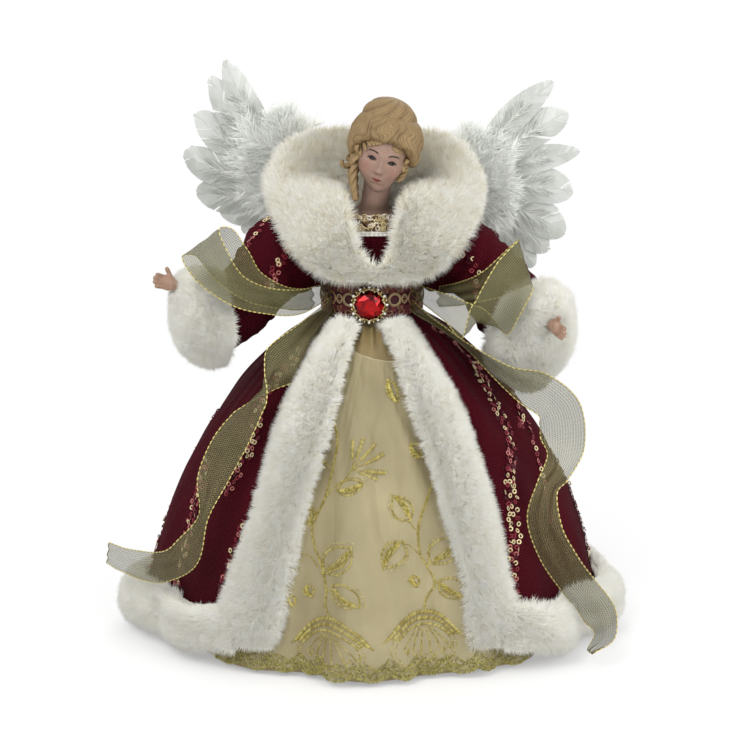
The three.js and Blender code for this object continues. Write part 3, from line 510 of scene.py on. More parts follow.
STONE = plain("clear_stone", (226, 226, 220), 0.05, 0.6)[0]
GEM = mottled("red_gem", (60, 0, 4), (206, 6, 14), 0.1, 190, metallic=0.95, Coat_Weight=0.35,
              Coat_Roughness=0.03)
ROLLED_EDGE = mottled("rolled_organza", (166, 156, 124), (194, 187, 158), 0.5, 400)
FELT = mottled("cream_felt", (196, 186, 164), (222, 214, 196), 0.95, 500, bump=0.4)


# The skirts' bell, as the solids have it

def fold(angle, share):
    """How far the folds that all the skirts share stand out, growing towards the hem."""
    return FOLD_DEPTH * share**1.5 * (np.cos(FOLDS * angle) + 0.4 * np.cos(SMALL_FOLDS * angle + 1))


def bell(waist, flare_height, hem_radius, hem_height, depth, hem_flare):
    """The bell's point for an angle from the front, a share of the way down and a lift off the cloth."""
    corners = [(waist, flare_height), (waist + 60, flare_height - 32),
               (hem_radius - hem_flare, hem_height + 70), (hem_radius, hem_height)]

    def place(angle, share):
        t = np.clip((share - BAND_SHARE) / (1 - BAND_SHARE), 0, None)
        weights = [(1 - t) ** 3, 3 * (1 - t) ** 2 * t, 3 * (1 - t) * t**2, t**3]
        radius = sum(w * c[0] for w, c in zip(weights, corners))
        height = sum(w * c[1] for w, c in zip(weights, corners))
        height = np.where(share < BAND_SHARE, lerp(BAND_TOP, flare_height, share / BAND_SHARE), height)
        flat = lerp(1, depth, smoothstep(share, BAND_SHARE, 1))
        out = fold(angle, share)
        return point((radius + out) * np.sin(angle), -(radius * flat + out) * np.cos(angle), height)

    def lifted(angle, share, lift):
        angle, share = np.asarray(angle, float), np.asarray(share, float)
        down = place(angle, np.minimum(share + 0.01, 1)) - place(angle, np.maximum(share - 0.01, 0))
        along = place(angle + 0.01, share) - place(angle - 0.01, share)
        out = unit(np.cross(down, along))
        return place(angle, share) + out * np.asarray(lift, float)[..., None]

    return lifted


skirt_bell = bell(SKIRT_WAIST, FLARE_HEIGHT - 3, SKIRT_HEM_RADIUS, hem_height=2, depth=SKIRT_DEPTH,
                  hem_flare=10)
coat_bell = bell(COAT_WAIST, FLARE_HEIGHT, COAT_HEM_RADIUS, hem_height=16, depth=COAT_DEPTH, hem_flare=14)

# Degrees from the front of the coat's front edges, at the top, in the bend and at the hem
FRONT_ANGLES = {-1: (26, 22, 32), 1: (20, 28, 31)}


def front_angle(side, share):
    """How far round the coat's front edge lies, on the left (-1) or the right (1)."""
    top, bend, hem = FRONT_ANGLES[side]
    return np.radians(lerp(lerp(top, bend, share), lerp(bend, hem, share), share))


def flat_map(grid):
    """Flat cloth coordinates of a grid: across from its middle column, and down from its top."""
    middle = grid.shape[1] // 2
    steps = np.linalg.norm(np.diff(grid, axis=1), axis=2)
    across = np.concatenate([np.zeros((len(grid), 1)), np.cumsum(steps, 1)], 1)
    across -= across[:, middle:middle + 1]
    down = run_along(grid[:, middle])
    return np.stack([across, np.broadcast_to(down[:, None], across.shape)], -1)


# Coat skirt

def coat_wave(angle, share):
    """How far the coat stands off its bell: gathers under the belt, soft folds and fine creases below."""
    across = (6 * np.sin(angle), 6 * np.cos(angle))
    folds = 1.3 * smoothstep(share, 0.1, 0.4) * ripples(11, *across, share * 3)
    gathers = 0.7 * np.cos(34 * angle + 2 * np.sin(5 * angle)) * (1 - smoothstep(share, 0.15, 0.6))
    creases = 0.25 * ripples(61, 3 * across[0], 3 * across[1], share * 16)
    total = folds + gathers * smoothstep(share, 0.09, 0.16) + creases
    return np.maximum(total, 0.25 * total - 0.5)


def coat_panel(name, node, angle_at, columns):
    """A panel of the coat skirt from the belt to the hem; angle_at gives its angles from edge to edge."""
    shares = np.linspace(0.02, 1, 90)[:, None]
    angles = angle_at(np.linspace(0, 1, columns)[None, :], shares)
    shares = np.broadcast_to(shares, angles.shape)
    wave = coat_wave(angles, shares)
    outside = coat_bell(angles, shares, CLOTH + wave)
    body = Body()
    add_shell(body, outside, coat_bell(angles, shares, wave), flat=flat_map(outside))
    panel = body.make(name, FIGURE, [BURGUNDY], "burgundy_cloth", node)


for side, word in ((-1, "left"), (1, "right")):
    coat_panel(f"{word}_coat_cloth", f"coat_{word}_panel",
               lambda u, s, side=side: side * lerp(front_angle(side, s), SEAM_ANGLE - 0.003, u),
               100)
coat_panel("back_coat_cloth", "coat_back_panel",
           lambda u, s: lerp(SEAM_ANGLE, TAU - SEAM_ANGLE, u) + 0 * s, 150)


# Underskirt and overskirt

def satin_wave(angle, share):
    """How far the satin stands off its bell: gathers at the waist, soft folds below."""
    gathers = 0.9 * np.cos(30 * angle + 2 * np.sin(7 * angle)) * (1 - smoothstep(share, 0.14, 0.24))
    folds = 0.5 * smoothstep(share, 0.2, 0.6) * ripples(5, angle * 8, share * 6)
    return gathers * smoothstep(share, 0.06, 0.12) + np.minimum(folds, 0.4)


def underskirt():
    """The satin skirt, gathered at the waist and closed all round."""
    angles, shares = np.meshgrid(turns(288), np.linspace(0.01, 1, 64))
    wave = satin_wave(angles, shares)
    outside = skirt_bell(angles, shares, CLOTH + wave)
    body = Body()
    add_shell(body, outside, skirt_bell(angles, shares, wave), True, flat=flat_map(outside))
    cloth = body.make("satin_skirt_cloth", FIGURE, [SATIN], "satin", "satin_underskirt")


underskirt()

OVER_ANGLE = math.radians(44)
SCALLOPS = 11
OVER_LIFT = 3.4


def over_wave(angle, share):
    """How far the overskirt stands off the satin: hanging folds and fine creases, never through it."""
    total = 1.8 * np.cos(17 * angle + 1.5 * np.sin(3 * angle) + 3 * share)
    for seed, deep, across, down in ((21, 1.4, 7, 3), (27, 0.8, 13, 8)):
        total = total + deep * ripples(seed, angle * across, share * down)
    total = total * smoothstep(share, 0.2, 0.65)
    for seed, deep, across, down in ((23, 0.3, 22, 16), (25, 0.1, 50, 40)):
        total = total + deep * ripples(seed, angle * across, share * down)
    return np.maximum(total, 0.25 * total - 1.0)


def on_overskirt(angle, share, lift=0.0):
    """A place on the overskirt, lift off its cloth."""
    hang = 1.2 * smoothstep(share, 0.8, 1.0) * (1 + np.cos(9 * angle + 0.7))
    off = OVER_LIFT + lift + hang + satin_wave(angle, share) + over_wave(angle, share)
    return skirt_bell(angle, share, off)


def scallop(angle):
    """How far the hem is cut up between scallops, as a share of the way down."""
    return 0.013 * (1 - np.abs(np.cos(angle / OVER_ANGLE * SCALLOPS * math.pi / 2)))


def overskirt():
    """The sheer front panel, with a rolled top edge and a scalloped hem."""
    angles = np.linspace(-OVER_ANGLE, OVER_ANGLE, 220)[None, :]
    rows = np.linspace(0, 1, 110)[:, None]
    top = 0.238 - 0.08 * np.abs(angles / OVER_ANGLE) ** 2 + 0.02 * np.sin(4 * angles)
    shares = lerp(top, 1 - scallop(angles), rows)
    angles = np.broadcast_to(angles, shares.shape)
    grid = on_overskirt(angles, shares)
    body = Body()
    body.add(grid, [grid_quads(*shares.shape)[:, ::-1]], flat=flat_map(grid))
    cloth = body.make("overskirt_organza", FIGURE, [ORGANZA], "embroidered_organza", "embroidered_overskirt")
    turning = Body()
    add_tube(turning, even_line(grid[0], 1.0), 0.32, 5)
    edge = turning.make("overskirt_top_edge", FIGURE, [ROLLED_EDGE], "embroidered_organza")


overskirt()


# Gold embroidery: rows of short raised stitches laid on the overskirt. A place is degrees from the front
# and a share of the way down, and STITCH_SCALE has the millimetres in each.

STITCH_SCALE = np.array([1.5, 215])
STITCH_FACES = np.array([[0, 2, 4], [0, 4, 3], [1, 4, 2], [1, 3, 4], [0, 3, 2], [1, 2, 3]])


class Stitches:
    """Stitches sewn on a surface(angle in degrees, share, lift)."""

    def __init__(self, surface, seed):
        self.surface = surface
        self.body = Body()
        self.draw = np.random.default_rng(seed)

    def lay(self, middle, way, out, long, wide, high, first=0):
        """One stitch at each middle: a spindle that lies along way and stands up along out."""
        side = np.cross(out, way)
        long = np.broadcast_to(long, len(middle))[:, None] * self.draw.uniform(0.65, 1.2, (len(middle), 1))
        ends = way * long / 2
        copies = np.stack([middle - ends, middle + ends, middle - side * wide / 2, middle + side * wide / 2,
                           middle + out * high], 1)
        self.body.repeat(copies, [STITCH_FACES], first + self.draw.integers(0, 3, len(middle)))

    def frame(self, places):
        """Points on the surface and the ways out of it."""
        angle, share = places[:, 0], np.clip(places[:, 1], 0.05, 0.999)
        middle = self.surface(angle, share, np.full(len(angle), 0.1))
        return middle, unit(self.surface(angle, share, np.full(len(angle), 1.1)) - middle)

    def row(self, line, width, slant=0.9, wide=0.7, high=0.6, spacing=0.66, first=0):
        """Stitches across a line of (degrees, share) places."""
        middle, out = self.frame(even_line(np.asarray(line, float) * STITCH_SCALE, spacing) / STITCH_SCALE)
        along = unit(np.gradient(middle, axis=0))
        side = np.cross(out, along)
        way = unit(side * math.sin(slant) + along * math.cos(slant))
        self.lay(middle, way, out, width, wide, high, first)

    def dots(self, line, spacing=1.7):
        """A running stitch beside an outline."""
        self.row(line, 1.3, slant=0.0, wide=0.75, high=0.45, spacing=spacing)

    def seed(self, places):
        """Loose stitches at any angle, for a filled border."""
        middle, out = self.frame(places)
        way = self.draw.normal(0, 1, middle.shape)
        way = unit(way - out * (way * out).sum(1, keepdims=True))
        self.lay(middle, way, out, 1.6, 0.7, 0.5, len(GOLD_STITCH))


def turned(base, tip, pairs):
    """Points along and beside the way from base to tip, in (degrees, share)."""
    base, tip = np.asarray(base, float), np.asarray(tip, float)
    way = (tip - base) * STITCH_SCALE
    side = np.array([-way[1], way[0]])
    return [base + (way * a + side * b) / STITCH_SCALE for a, b in pairs]


def leaf(gold, base, tip, wide):
    """An outlined leaf with one half filled in satin stitch and a running stitch outside."""
    for half in (-1, 1):
        edge = turned(base, tip, [(0, 0), (0.3, half * wide), (0.7, half * wide * 0.9), (1, 0)])
        gold.row(edge, 2.2, slant=1.25)
    for b in (0.15, 0.4, 0.65):
        vein = turned(base, tip, [(0.15, wide * b * 0.4), (0.5, wide * b), (0.88, wide * b * 0.4)])
        gold.row(vein, 2.7, slant=0.8)
    outer = wide * 1.35
    gold.dots(turned(base, tip, [(0.1, -outer * 0.5), (0.4, -outer), (0.75, -outer * 0.9), (1.1, -0.05)]))


def bell_flower(gold, top, wide, tall):
    """A hanging flower: a cap in long satin stitches, a dotted cup and looped stamens."""
    angle, share = top
    reach, drop = np.array([wide, tall]) / STITCH_SCALE

    def at(across, down):
        return (angle + reach * across, share + drop * down)

    for down, width in ((0.0, 4.0), (0.11, 3.6), (0.22, 2.8)):
        arc = [at(k, down + 0.34 * k * k + 0.1 * abs(k) ** 3) for k in np.linspace(-1 + down, 1 - down, 9)]
        gold.row(arc, width, slant=1.25, spacing=0.6)
    for side in (-1, 1):
        gold.row([at(side * 0.85, 0.3), at(side * 1.0, 0.44), at(side * 1.12, 0.5)], 2.2, slant=1.0)
    cup = [at(x, y) for x, y in ((-0.85, 0.42), (-0.95, 0.7), (-0.6, 0.96), (-0.15, 0.9), (0.25, 0.92),
                                 (0.6, 0.98), (0.92, 0.7), (0.8, 0.42))]
    gold.dots(cup, 1.15)
    gold.dots([at(0.9 * (x - angle) / reach, 0.06 + 0.92 * (y - share) / drop) for x, y in cup], 1.3)
    for k in (-0.62, -0.34, -0.08, 0.2, 0.46, 0.68):
        foot = at(k, 0.82 - 0.3 * abs(k))
        gold.row([at(k * 0.35, 0.3), at(k * 0.8, 0.52), foot], 1.5, slant=0.9, spacing=0.75)
        gold.row([foot, (foot[0] + 0.9, foot[1] + 0.012), (foot[0] + 1.6, foot[1])], 1.7, slant=1.2)


def spray(gold, base, tips):
    """A fan of strokes from one point, each a comb of short stitches."""
    for tip in tips:
        gold.row(turned(base, tip, [(0.0, 0), (0.3, 0.02), (1.0, 0)]), 1.2, slant=0.5)
        gold.row(turned(base, tip, [(0.38, 0), (1.0, 0)]), 4.0, slant=1.45, spacing=0.8)


# Stems and twigs of the vine, as lines of places
VINE_STEMS = [
    [(-16, 0.40), (-13, 0.46), (-14, 0.53), (-16, 0.60), (-19, 0.66), (-18, 0.70), (-15, 0.75), (-13, 0.80),
     (-13, 0.84), (-11, 0.865)],
    [(23, 0.52), (20, 0.57), (17, 0.61), (14, 0.66), (14, 0.72), (16, 0.75), (18, 0.79), (15, 0.82),
     (14, 0.85)],
]
VINE_TWIGS = [
    [(-16, 0.60), (-12, 0.565), (-9, 0.55), (-6, 0.525)], [(-15, 0.77), (-13, 0.755), (-12.5, 0.745)],
    [(-16, 0.755), (-19, 0.73), (-23, 0.725)], [(-13, 0.81), (-11, 0.80), (-9.5, 0.80)],
    [(-14, 0.53), (-17, 0.51)], [(-19, 0.66), (-21, 0.655)], [(14, 0.67), (12, 0.655), (11, 0.64)],
    [(14, 0.725), (11, 0.70), (8, 0.69)], [(16, 0.75), (17.5, 0.74)], [(18, 0.79), (20, 0.785)],
    [(14, 0.66), (15, 0.64)],
]

# Leaves of the vine: where each starts, its tip and its width for its length
VINE_LEAVES = [
    ((-11, 0.575), (-2.5, 0.555), 0.26), ((-14, 0.765), (-5.5, 0.70), 0.3),
    ((-22, 0.725), (-27, 0.765), 0.34), ((-11, 0.79), (-3, 0.83), 0.3),
    ((-17, 0.51), (-20.5, 0.525), 0.4), ((-20, 0.66), (-22, 0.605), 0.26),
    ((11.5, 0.645), (7, 0.585), 0.3), ((9, 0.69), (3, 0.745), 0.34), ((17, 0.745), (26, 0.69), 0.28),
    ((19.5, 0.785), (26.5, 0.825), 0.32), ((-24, 0.70), (-28, 0.68), 0.3), ((8, 0.30), (11, 0.36), 0.26),
    ((14, 0.47), (18, 0.50), 0.36), ((-28, 0.86), (-31, 0.90), 0.36),
]


def embroidery():
    """A trailing vine with leaves, a spray and two hanging flowers, over a stitched border."""
    def over(angle, share, lift):
        return on_overskirt(np.radians(angle), share, lift)

    gold = Stitches(over, 31)
    for stem in VINE_STEMS:
        gold.row(stem, 1.6)
        gold.row([(a + 0.4, s + 0.002) for a, s in stem], 1.1)
    for twig in VINE_TWIGS:
        gold.row(twig, 1.2)
    for base, tip, wide in VINE_LEAVES:
        leaf(gold, base, tip, wide)
    spray(gold, (-6, 0.525), [(-6.5, 0.455), (-3, 0.45), (1, 0.46), (4, 0.485), (4.5, 0.53), (1.5, 0.545)])
    for angle, share in [(-19, 0.81), (11, 0.78), (-24, 0.83)]:
        leaf(gold, (angle, share - 0.012), (angle + 1.5, share + 0.012), 0.35)
    bell_flower(gold, (-11, 0.865), 15, 26)
    bell_flower(gold, (14, 0.85), 15, 27)
    across = np.degrees(np.linspace(-OVER_ANGLE, OVER_ANGLE, 150))
    hem = 1 - scallop(np.radians(across))
    for rise, width, wave in ((0.003, 2.8, 0), (0.012, 2.0, 0.004), (0.02, 2.0, -0.004), (0.032, 1.6, 0.007)):
        swing = wave * np.sin(np.radians(across) * 60)
        gold.row(np.stack([across, hem - rise + swing], 1), width, slant=1.4, first=len(GOLD_STITCH))
    border = 1500
    sown = gold.draw.uniform(-1, 1, border) * np.degrees(OVER_ANGLE)
    depth = 0.034 * gold.draw.random(border) ** 1.4
    gold.seed(np.stack([sown, 1 - scallop(np.radians(sown)) - depth], 1))
    gold.body.make("gold_embroidery", FIGURE, GOLD_STITCH + OLIVE_STITCH, "embroidered_organza")


embroidery()


# Ring sequins, sewn in stripes

RING_SIDES = 10
RING_PROFILE = [(0.6, 0.0), (1.1, 0.22), (1.5, 0.1), (1.1, 0.02)]
RING = np.concatenate([point(r * np.cos(turns(RING_SIDES)), r * np.sin(turns(RING_SIDES)), z)
                       for r, z in RING_PROFILE])
RING_FACES = (grid_quads(len(RING_PROFILE) + 1, RING_SIDES, True) % len(RING))[:, ::-1]


def sew_sequins(name, body, surface, stripes, seed):
    """Stripes of sequins on a surface(first, second, lift), with dark stitches between."""
    rings, dark = Body(), Stitches(surface, seed)
    draw = dark.draw
    for line, spacing, wide in stripes:
        fine = smooth_line(line, 200)
        centre = surface(fine[:, 0], fine[:, 1], np.full(len(fine), 0.3))
        run = run_along(centre)
        marks = np.arange(1, run[-1], spacing)
        many = max(1, round(wide / SEQUIN_PITCH))
        places = np.repeat(marks, many) + draw.normal(0, 0.6, len(marks) * many)
        rank = np.tile((np.arange(many) - (many - 1) / 2) * SEQUIN_PITCH, len(marks))
        shift = rank + draw.normal(0, 0.7, len(places))
        kept = draw.random(len(places)) > 0.1
        places, shift = places[kept], shift[kept]
        at = on_line(places, run, centre)
        first, second = on_line(places, run, fine).T
        lifts = [surface(first, second, np.full(len(at), lift)) for lift in (0.3, 1.3)]
        flat_out = unit(lifts[1] - lifts[0])
        along = unit(on_line(places, run, np.gradient(centre, run, axis=0)))
        across = unit(np.cross(flat_out, along))
        out = unit(flat_out + draw.normal(0, 0.25, flat_out.shape))
        x_way = unit(across - out * (across * out).sum(1, keepdims=True))
        y_way = np.cross(out, x_way)
        middle = at + across * shift[:, None] + flat_out * draw.uniform(0.0, 0.5, (len(at), 1))
        ring = [RING[None, :, k:k + 1] * way[:, None] for k, way in enumerate((x_way, y_way, out))]
        tint = draw.choice(len(SEQUINS), len(at), p=[0.34, 0.24, 0.3, 0.12])
        rings.repeat(middle[:, None] + sum(ring), [RING_FACES], tint)
        for _ in range(2):
            spots = at + across * (shift + draw.normal(0, 1.2, len(at)))[:, None] - flat_out * 0.2
            way = across * draw.normal(0, 1, (len(at), 1))
            way = unit(way + along * draw.normal(0, 1, (len(at), 1)))
            dark.lay(spots, way, flat_out, 3.0, 0.6, 0.4)
    rings.make(f"{name}_sequins", body, SEQUINS, "burgundy_cloth")
    dark.body.make(f"{name}_stitches", body, DARK_STITCH, "burgundy_cloth")


def coat_place(angle, share, lift):
    """A place on the coat skirt, in degrees from the front and a share of the way down."""
    angle, share = np.radians(angle), np.clip(share, 0.05, 0.995)
    return coat_bell(angle, share, CLOTH + coat_wave(angle, share) + lift)


# Stripes of sequins on each panel: a line of places, the spacing along it and its width
COAT_STRIPES = {
    "right": [
        ([(66, 0.3), (59, 0.42), (57, 0.5), (49, 0.58), (45, 0.64), (43, 0.70), (41, 0.76), (38, 0.82),
          (36, 0.92)], 3.0, 10),
        ([(84, 0.36), (74, 0.45), (66, 0.52)], 3.0, 7),
        ([(74, 0.5), (70, 0.56), (67, 0.63), (64, 0.70), (61, 0.76)], 3.2, 4),
        ([(90, 0.5), (86, 0.7), (84, 0.92)], 3.1, 10),
        ([(62, 0.16), (66, 0.24), (64, 0.32)], 3.2, 4),
    ],
    "left": [
        ([(-46, 0.24), (-49, 0.34), (-50, 0.41), (-46, 0.48), (-45, 0.54), (-47, 0.6), (-50, 0.66)], 3.0, 9),
        ([(-36, 0.71), (-38, 0.76), (-39, 0.82), (-41, 0.9)], 3.0, 7),
        ([(-92, 0.5), (-92, 0.63), (-90, 0.72), (-86, 0.8), (-80, 0.92)], 3.0, 9),
        ([(-66, 0.6), (-63, 0.75), (-62, 0.92)], 3.1, 9),
    ],
    "back": [([(turn, 0.22), (turn + 2, 0.5), (turn - 1, 0.7), (turn, 0.92)], 3.1, 10)
             for turn in (122, 148, 173, 199, 225)],
}
for i, (word, stripes) in enumerate(COAT_STRIPES.items()):
    sew_sequins(f"{word}_coat", FIGURE, coat_place, stripes, 41 + i)


# Faux fur: a backing with a pile of tapered tufts

TUFT_FACES = [np.array([[0, 1, 3], [1, 2, 3], [2, 0, 3]])]
TUFT_AREA = 2.4
HAIR_RADIUS = 0.23
FRONT_FUR_WIDTH = 27
FUR_GAP = 1.3


def pile(name, body, outside, inside, long, lay, seed, wrap=False, shaded=None):
    """Hairs on a grid of points, lying along lay (down and across the grid) in tufts of one direction.

    shaded gives the share of hairs in the darker, creamier tints of painted shade, by their roots and the
    ways out.
    """
    draw = np.random.default_rng(seed)
    count = PILE_HAIRS
    lays = [np.broadcast_to(v, outside.shape[:2]) for v in lay]
    if wrap:
        outside, inside = (np.concatenate([grid, grid[:, :1]], 1) for grid in (outside, inside))
    a, b, c, d = outside[:-1, :-1], outside[:-1, 1:], outside[1:, 1:], outside[1:, :-1]
    high, wide = a.shape[:2]
    cells = [x.reshape(-1, 3) for x in (a, b, c, d, (outside - inside)[:-1, :-1])]
    area = np.linalg.norm(np.cross(cells[2] - cells[0], cells[3] - cells[1]), axis=1) / 2
    chosen = draw.choice(len(area), count, p=area / area.sum())
    a, b, c, d, off = (x[chosen] for x in cells)
    down_lay, across_lay = (v[:high, :wide].reshape(-1, 1)[chosen] for v in lays)
    u, v = draw.random((2, count, 1))
    root = lerp(lerp(a, b, u), lerp(d, c, u), v)
    down, across = unit(lerp(d - a, c - b, u)), unit(lerp(b - a, c - d, v))
    out = unit(np.cross(down, across))
    out *= np.sign((out * off).sum(1, keepdims=True) + 1e-9)
    tufts = min(count // 8, int(area.sum() / TUFT_AREA))
    tree = KDTree(tufts)
    for i in range(tufts):
        tree.insert(root[i], i)
    tree.balance()
    nearest = np.array([tree.find(p)[1] for p in root])
    turn = draw.normal(0, 0.2, (tufts, 2))[nearest] + draw.normal(0, 0.3, (count, 2))
    lean = down * (down_lay + turn[:, :1]) + across * (across_lay + turn[:, 1:])
    reach = long * draw.uniform(0.75, 1.1, (count, 1)) * draw.normal(1, 0.08, (tufts, 1))[nearest]
    tip = root + unit(out + lean) * reach
    tip = lerp(tip, tip[nearest], draw.uniform(0.0, 0.16, (count, 1)))
    way = unit(tip - root)
    side = unit(np.cross(way, draw.normal(0, 1, (count, 3))))
    other = np.cross(way, side)
    width = HAIR_RADIUS * draw.uniform(0.75, 1.25, (count, 1))
    foot = root - out * 0.5
    ring = [foot + width * (side * math.cos(t) + other * math.sin(t)) for t in THIRDS]
    tone = draw.normal(0, 0.8, tufts)[nearest] + draw.normal(0, 0.5, count)
    shade = np.array([2, 1, 0, 3])[np.digitize(tone, [-1.0, 0.1, 0.8])]
    # Hairs that shaded picks take the fur_shade tints, which are painted shade.
    if shaded is not None:
        shade = shade + len(FUR_TINTS) * (draw.random(count) < shaded(root, out))
    hairs = Body()
    hairs.repeat(np.stack([*ring, tip], 1), TUFT_FACES, shade)
    hairs.make(name, body, FUR_TINTS + FUR_SHADE, "fur")


def backing(name, body, node, outside, inside, wrap):
    """The pelt under a pile."""
    skin = Body()
    add_shell(skin, outside, inside, wrap)
    skin.make(name, body, [PELT], "fur", node)


def rounded(u):
    """The crowned section of a strip of fur, for a share of the way across."""
    return 0.16 + 0.84 * np.sqrt(np.clip(1 - np.abs(2 * u - 1) ** 3, 0, 1))


def front_fur(side, word):
    """The fur down one front edge of the coat."""
    shares = np.linspace(0.135, 0.995, 70)[:, None]
    u = np.linspace(0, 1, 15)[None, :]
    width = lerp(17, FRONT_FUR_WIDTH, smoothstep(shares, 0.1, 0.55)) - 5
    width = width * (1 + 0.12 * ripples(51 + side, shares * 9) + 0.22 * smoothstep(shares, 0.82, 0.98))
    edge = coat_bell(side * front_angle(side, shares), shares, 0 * shares)
    spread = width / 2 / np.hypot(edge[..., 0], edge[..., 1])
    angles = side * (front_angle(side, shares) + lerp(-spread, spread, u))
    bumps = 1 + 0.1 * ripples(53 + side, shares * 9, u * 1.5)
    swell = 3.4 * lerp(0.6, 1, smoothstep(shares, 0.135, 0.25)) * bumps
    swell = swell * (1 - 0.7 * smoothstep(shares, 0.96, 1))
    shares = np.broadcast_to(shares, angles.shape)
    inside = coat_bell(angles, shares, np.full(angles.shape, FUR_LIFT))
    outside = coat_bell(angles, shares, FUR_LIFT + swell * rounded(u))
    backing(f"{word}_front_pelt", FIGURE, f"{word}_front_fur", outside, inside, False)
    pile(f"{word}_front_pile", FIGURE, outside, inside, long=6.2, lay=(0.3, 0.45 * (2 * u - 1)),
         seed=55 + side)


front_fur(-1, "left")
front_fur(1, "right")


def hem_start(side):
    """How far round the hem fur starts, beside the front fur."""
    return front_angle(side, 1) + (FRONT_FUR_WIDTH / 2 + FUR_GAP) / (COAT_HEM_RADIUS * COAT_DEPTH)


def hem_fur():
    """A roll of fur round the hem, drawn in and out by the cloth; its ends tuck under the front furs."""
    rise = np.linspace(1, 0, 12)[:, None]
    u = np.linspace(0, 1, 220)[None, :]
    to_end = np.minimum(u, 1 - u)
    angles = lerp(hem_start(1) - 0.12, TAU - hem_start(-1) + 0.12, u)
    end = np.minimum(1, 0.35 + 12 * to_end)
    foot = np.full_like(angles, 0.999)
    slope = unit(coat_bell(angles, foot, 0 * foot) - coat_bell(angles, 0 * foot + 0.86, 0 * foot))
    bumps = 1 + 0.22 * ripples(61, angles * 9, rise * 2)
    roll = 1.6 * ripples(62, angles * 6)
    tall = 23
    below = lerp(0.06, 0.32, smoothstep(to_end, 0.01, 0.06))

    def grid(thick):
        lift = FUR_LIFT + 0.5 + thick * end * rounded(rise) * bumps + roll * (thick > 0)
        base = coat_bell(np.broadcast_to(angles, lift.shape), np.broadcast_to(foot, lift.shape), lift)
        return base + slope * (tall * (below - rise) + 1.0)[..., None]

    outside, inside = grid(6.6), grid(0.0)
    backing("hem_pelt", FIGURE, "hem_fur", outside, inside, False)
    for word, low, high in (("right", 0, 111), ("left", 110, 220)):
        part = (slice(None), slice(low, high))
        pile(f"{word}_hem_pile", FIGURE, outside[part], inside[part], long=6.4, lay=(0.15, 0), seed=63 + low)


hem_fur()

# Collar stations: a point of the inner edge and one of the outer edge from the torso's top, and a thickness.
COLLAR = [
    ((7, -37.5, -16), (3, -40, -23.5), 0.5), ((-3, -33.5, -9), (-25, -40, -20), 0.75),
    ((-8.5, -28, 7), (-43, -37, -9), 0.9), ((-12, -18, 24), (-58, -15, 14), 0.9),
    ((-18, -1, 18), (-61, 4, 33), 0.95), ((-14, 13, 9), (-45, 24, 53), 0.95),
    ((3, 18, 7), (4, 33, 59), 0.85), ((18, 13, 9), (49, 24, 52), 0.95),
    ((21, -1, 18), (64, 4, 31), 0.95), ((15, -18, 24), (62, -15, 12), 0.9),
    ((10.5, -28, 7), (45, -38, -11), 0.9), ((7.5, -33.5, -9), (29, -40, -20), 0.75),
    ((1, -38.5, -15.5), (5, -41, -23.5), 0.5),
]
COLLAR_STEPS = 111
COLLAR_SIDES = 26


def fur_collar():
    """The shawl collar: a flattened roll of fur that stands up behind the head and meets over the belt."""
    inner, outer = (smooth_line([s[k] for s in COLLAR], COLLAR_STEPS - 1) + [0, 0, TORSO_TOP] for k in (0, 1))
    steps = np.arange(COLLAR_STEPS)
    stations = np.linspace(0, len(COLLAR) - 1, COLLAR_STEPS)
    share = np.interp(stations, np.arange(len(COLLAR)), [s[2] for s in COLLAR])
    along = np.gradient(inner, axis=0) + np.gradient(outer, axis=0)
    across = outer - inner
    half = length_of(across) / 2
    out = unit(np.cross(along, across))
    across = unit(across)
    middle = (inner + outer) / 2
    turn = turns(COLLAR_SIDES)
    bumps = 1 + 0.22 * ripples(71, steps[:, None] / 9, np.cos(turn) * 2)
    thick = (8 * share - 4.4)[:, None] * bumps

    def loop(wide, deep):
        spread = across[:, None] * (wide * np.cos(turn))[..., None]
        return middle[:, None] + spread + out[:, None] * (deep * np.sin(turn))[..., None]

    ends = np.minimum(steps, steps[::-1])[:, None]
    trim = 4 - 2.5 * (1 - smoothstep(ends, 0, 18))
    outside = loop(half - trim, thick)
    inside = loop(half - trim - 1, thick * 0.3)
    backing("collar_pelt", FIGURE, "fur_collar", outside, inside, True)
    to_outer_edge = -0.6 * np.sin(turn)

    def shaded(root, out):
        """Darker, creamier tufts, partly the fur's own cream and partly painted shade: some all over, and
        most of them inside the standing collar, behind the head.
        """
        inward = (out * unit(np.array([4, -6, TORSO_TOP + 40]) - root)).sum(1)
        return 0.4 + 0.6 * smoothstep(inward, 0.1, 0.6) * smoothstep(root[:, 2], TORSO_TOP, TORSO_TOP + 14)

    for word, low, high, seed in (("left", 0, 56, 73), ("right", 55, COLLAR_STEPS, 75)):
        for face, first, last in (("a", 0, 14), ("b", 13, 27)):
            columns = np.arange(first, last) % COLLAR_SIDES
            grids = [grid[low:high][:, columns] for grid in (outside, inside)]
            pile(f"{word}_collar_pile_{face}", FIGURE, *grids, long=7.0, lay=(0.1, to_outer_edge[columns]),
                 seed=seed + last, shaded=shaded)


fur_collar()


# Arms: the sleeve's rings follow the wire

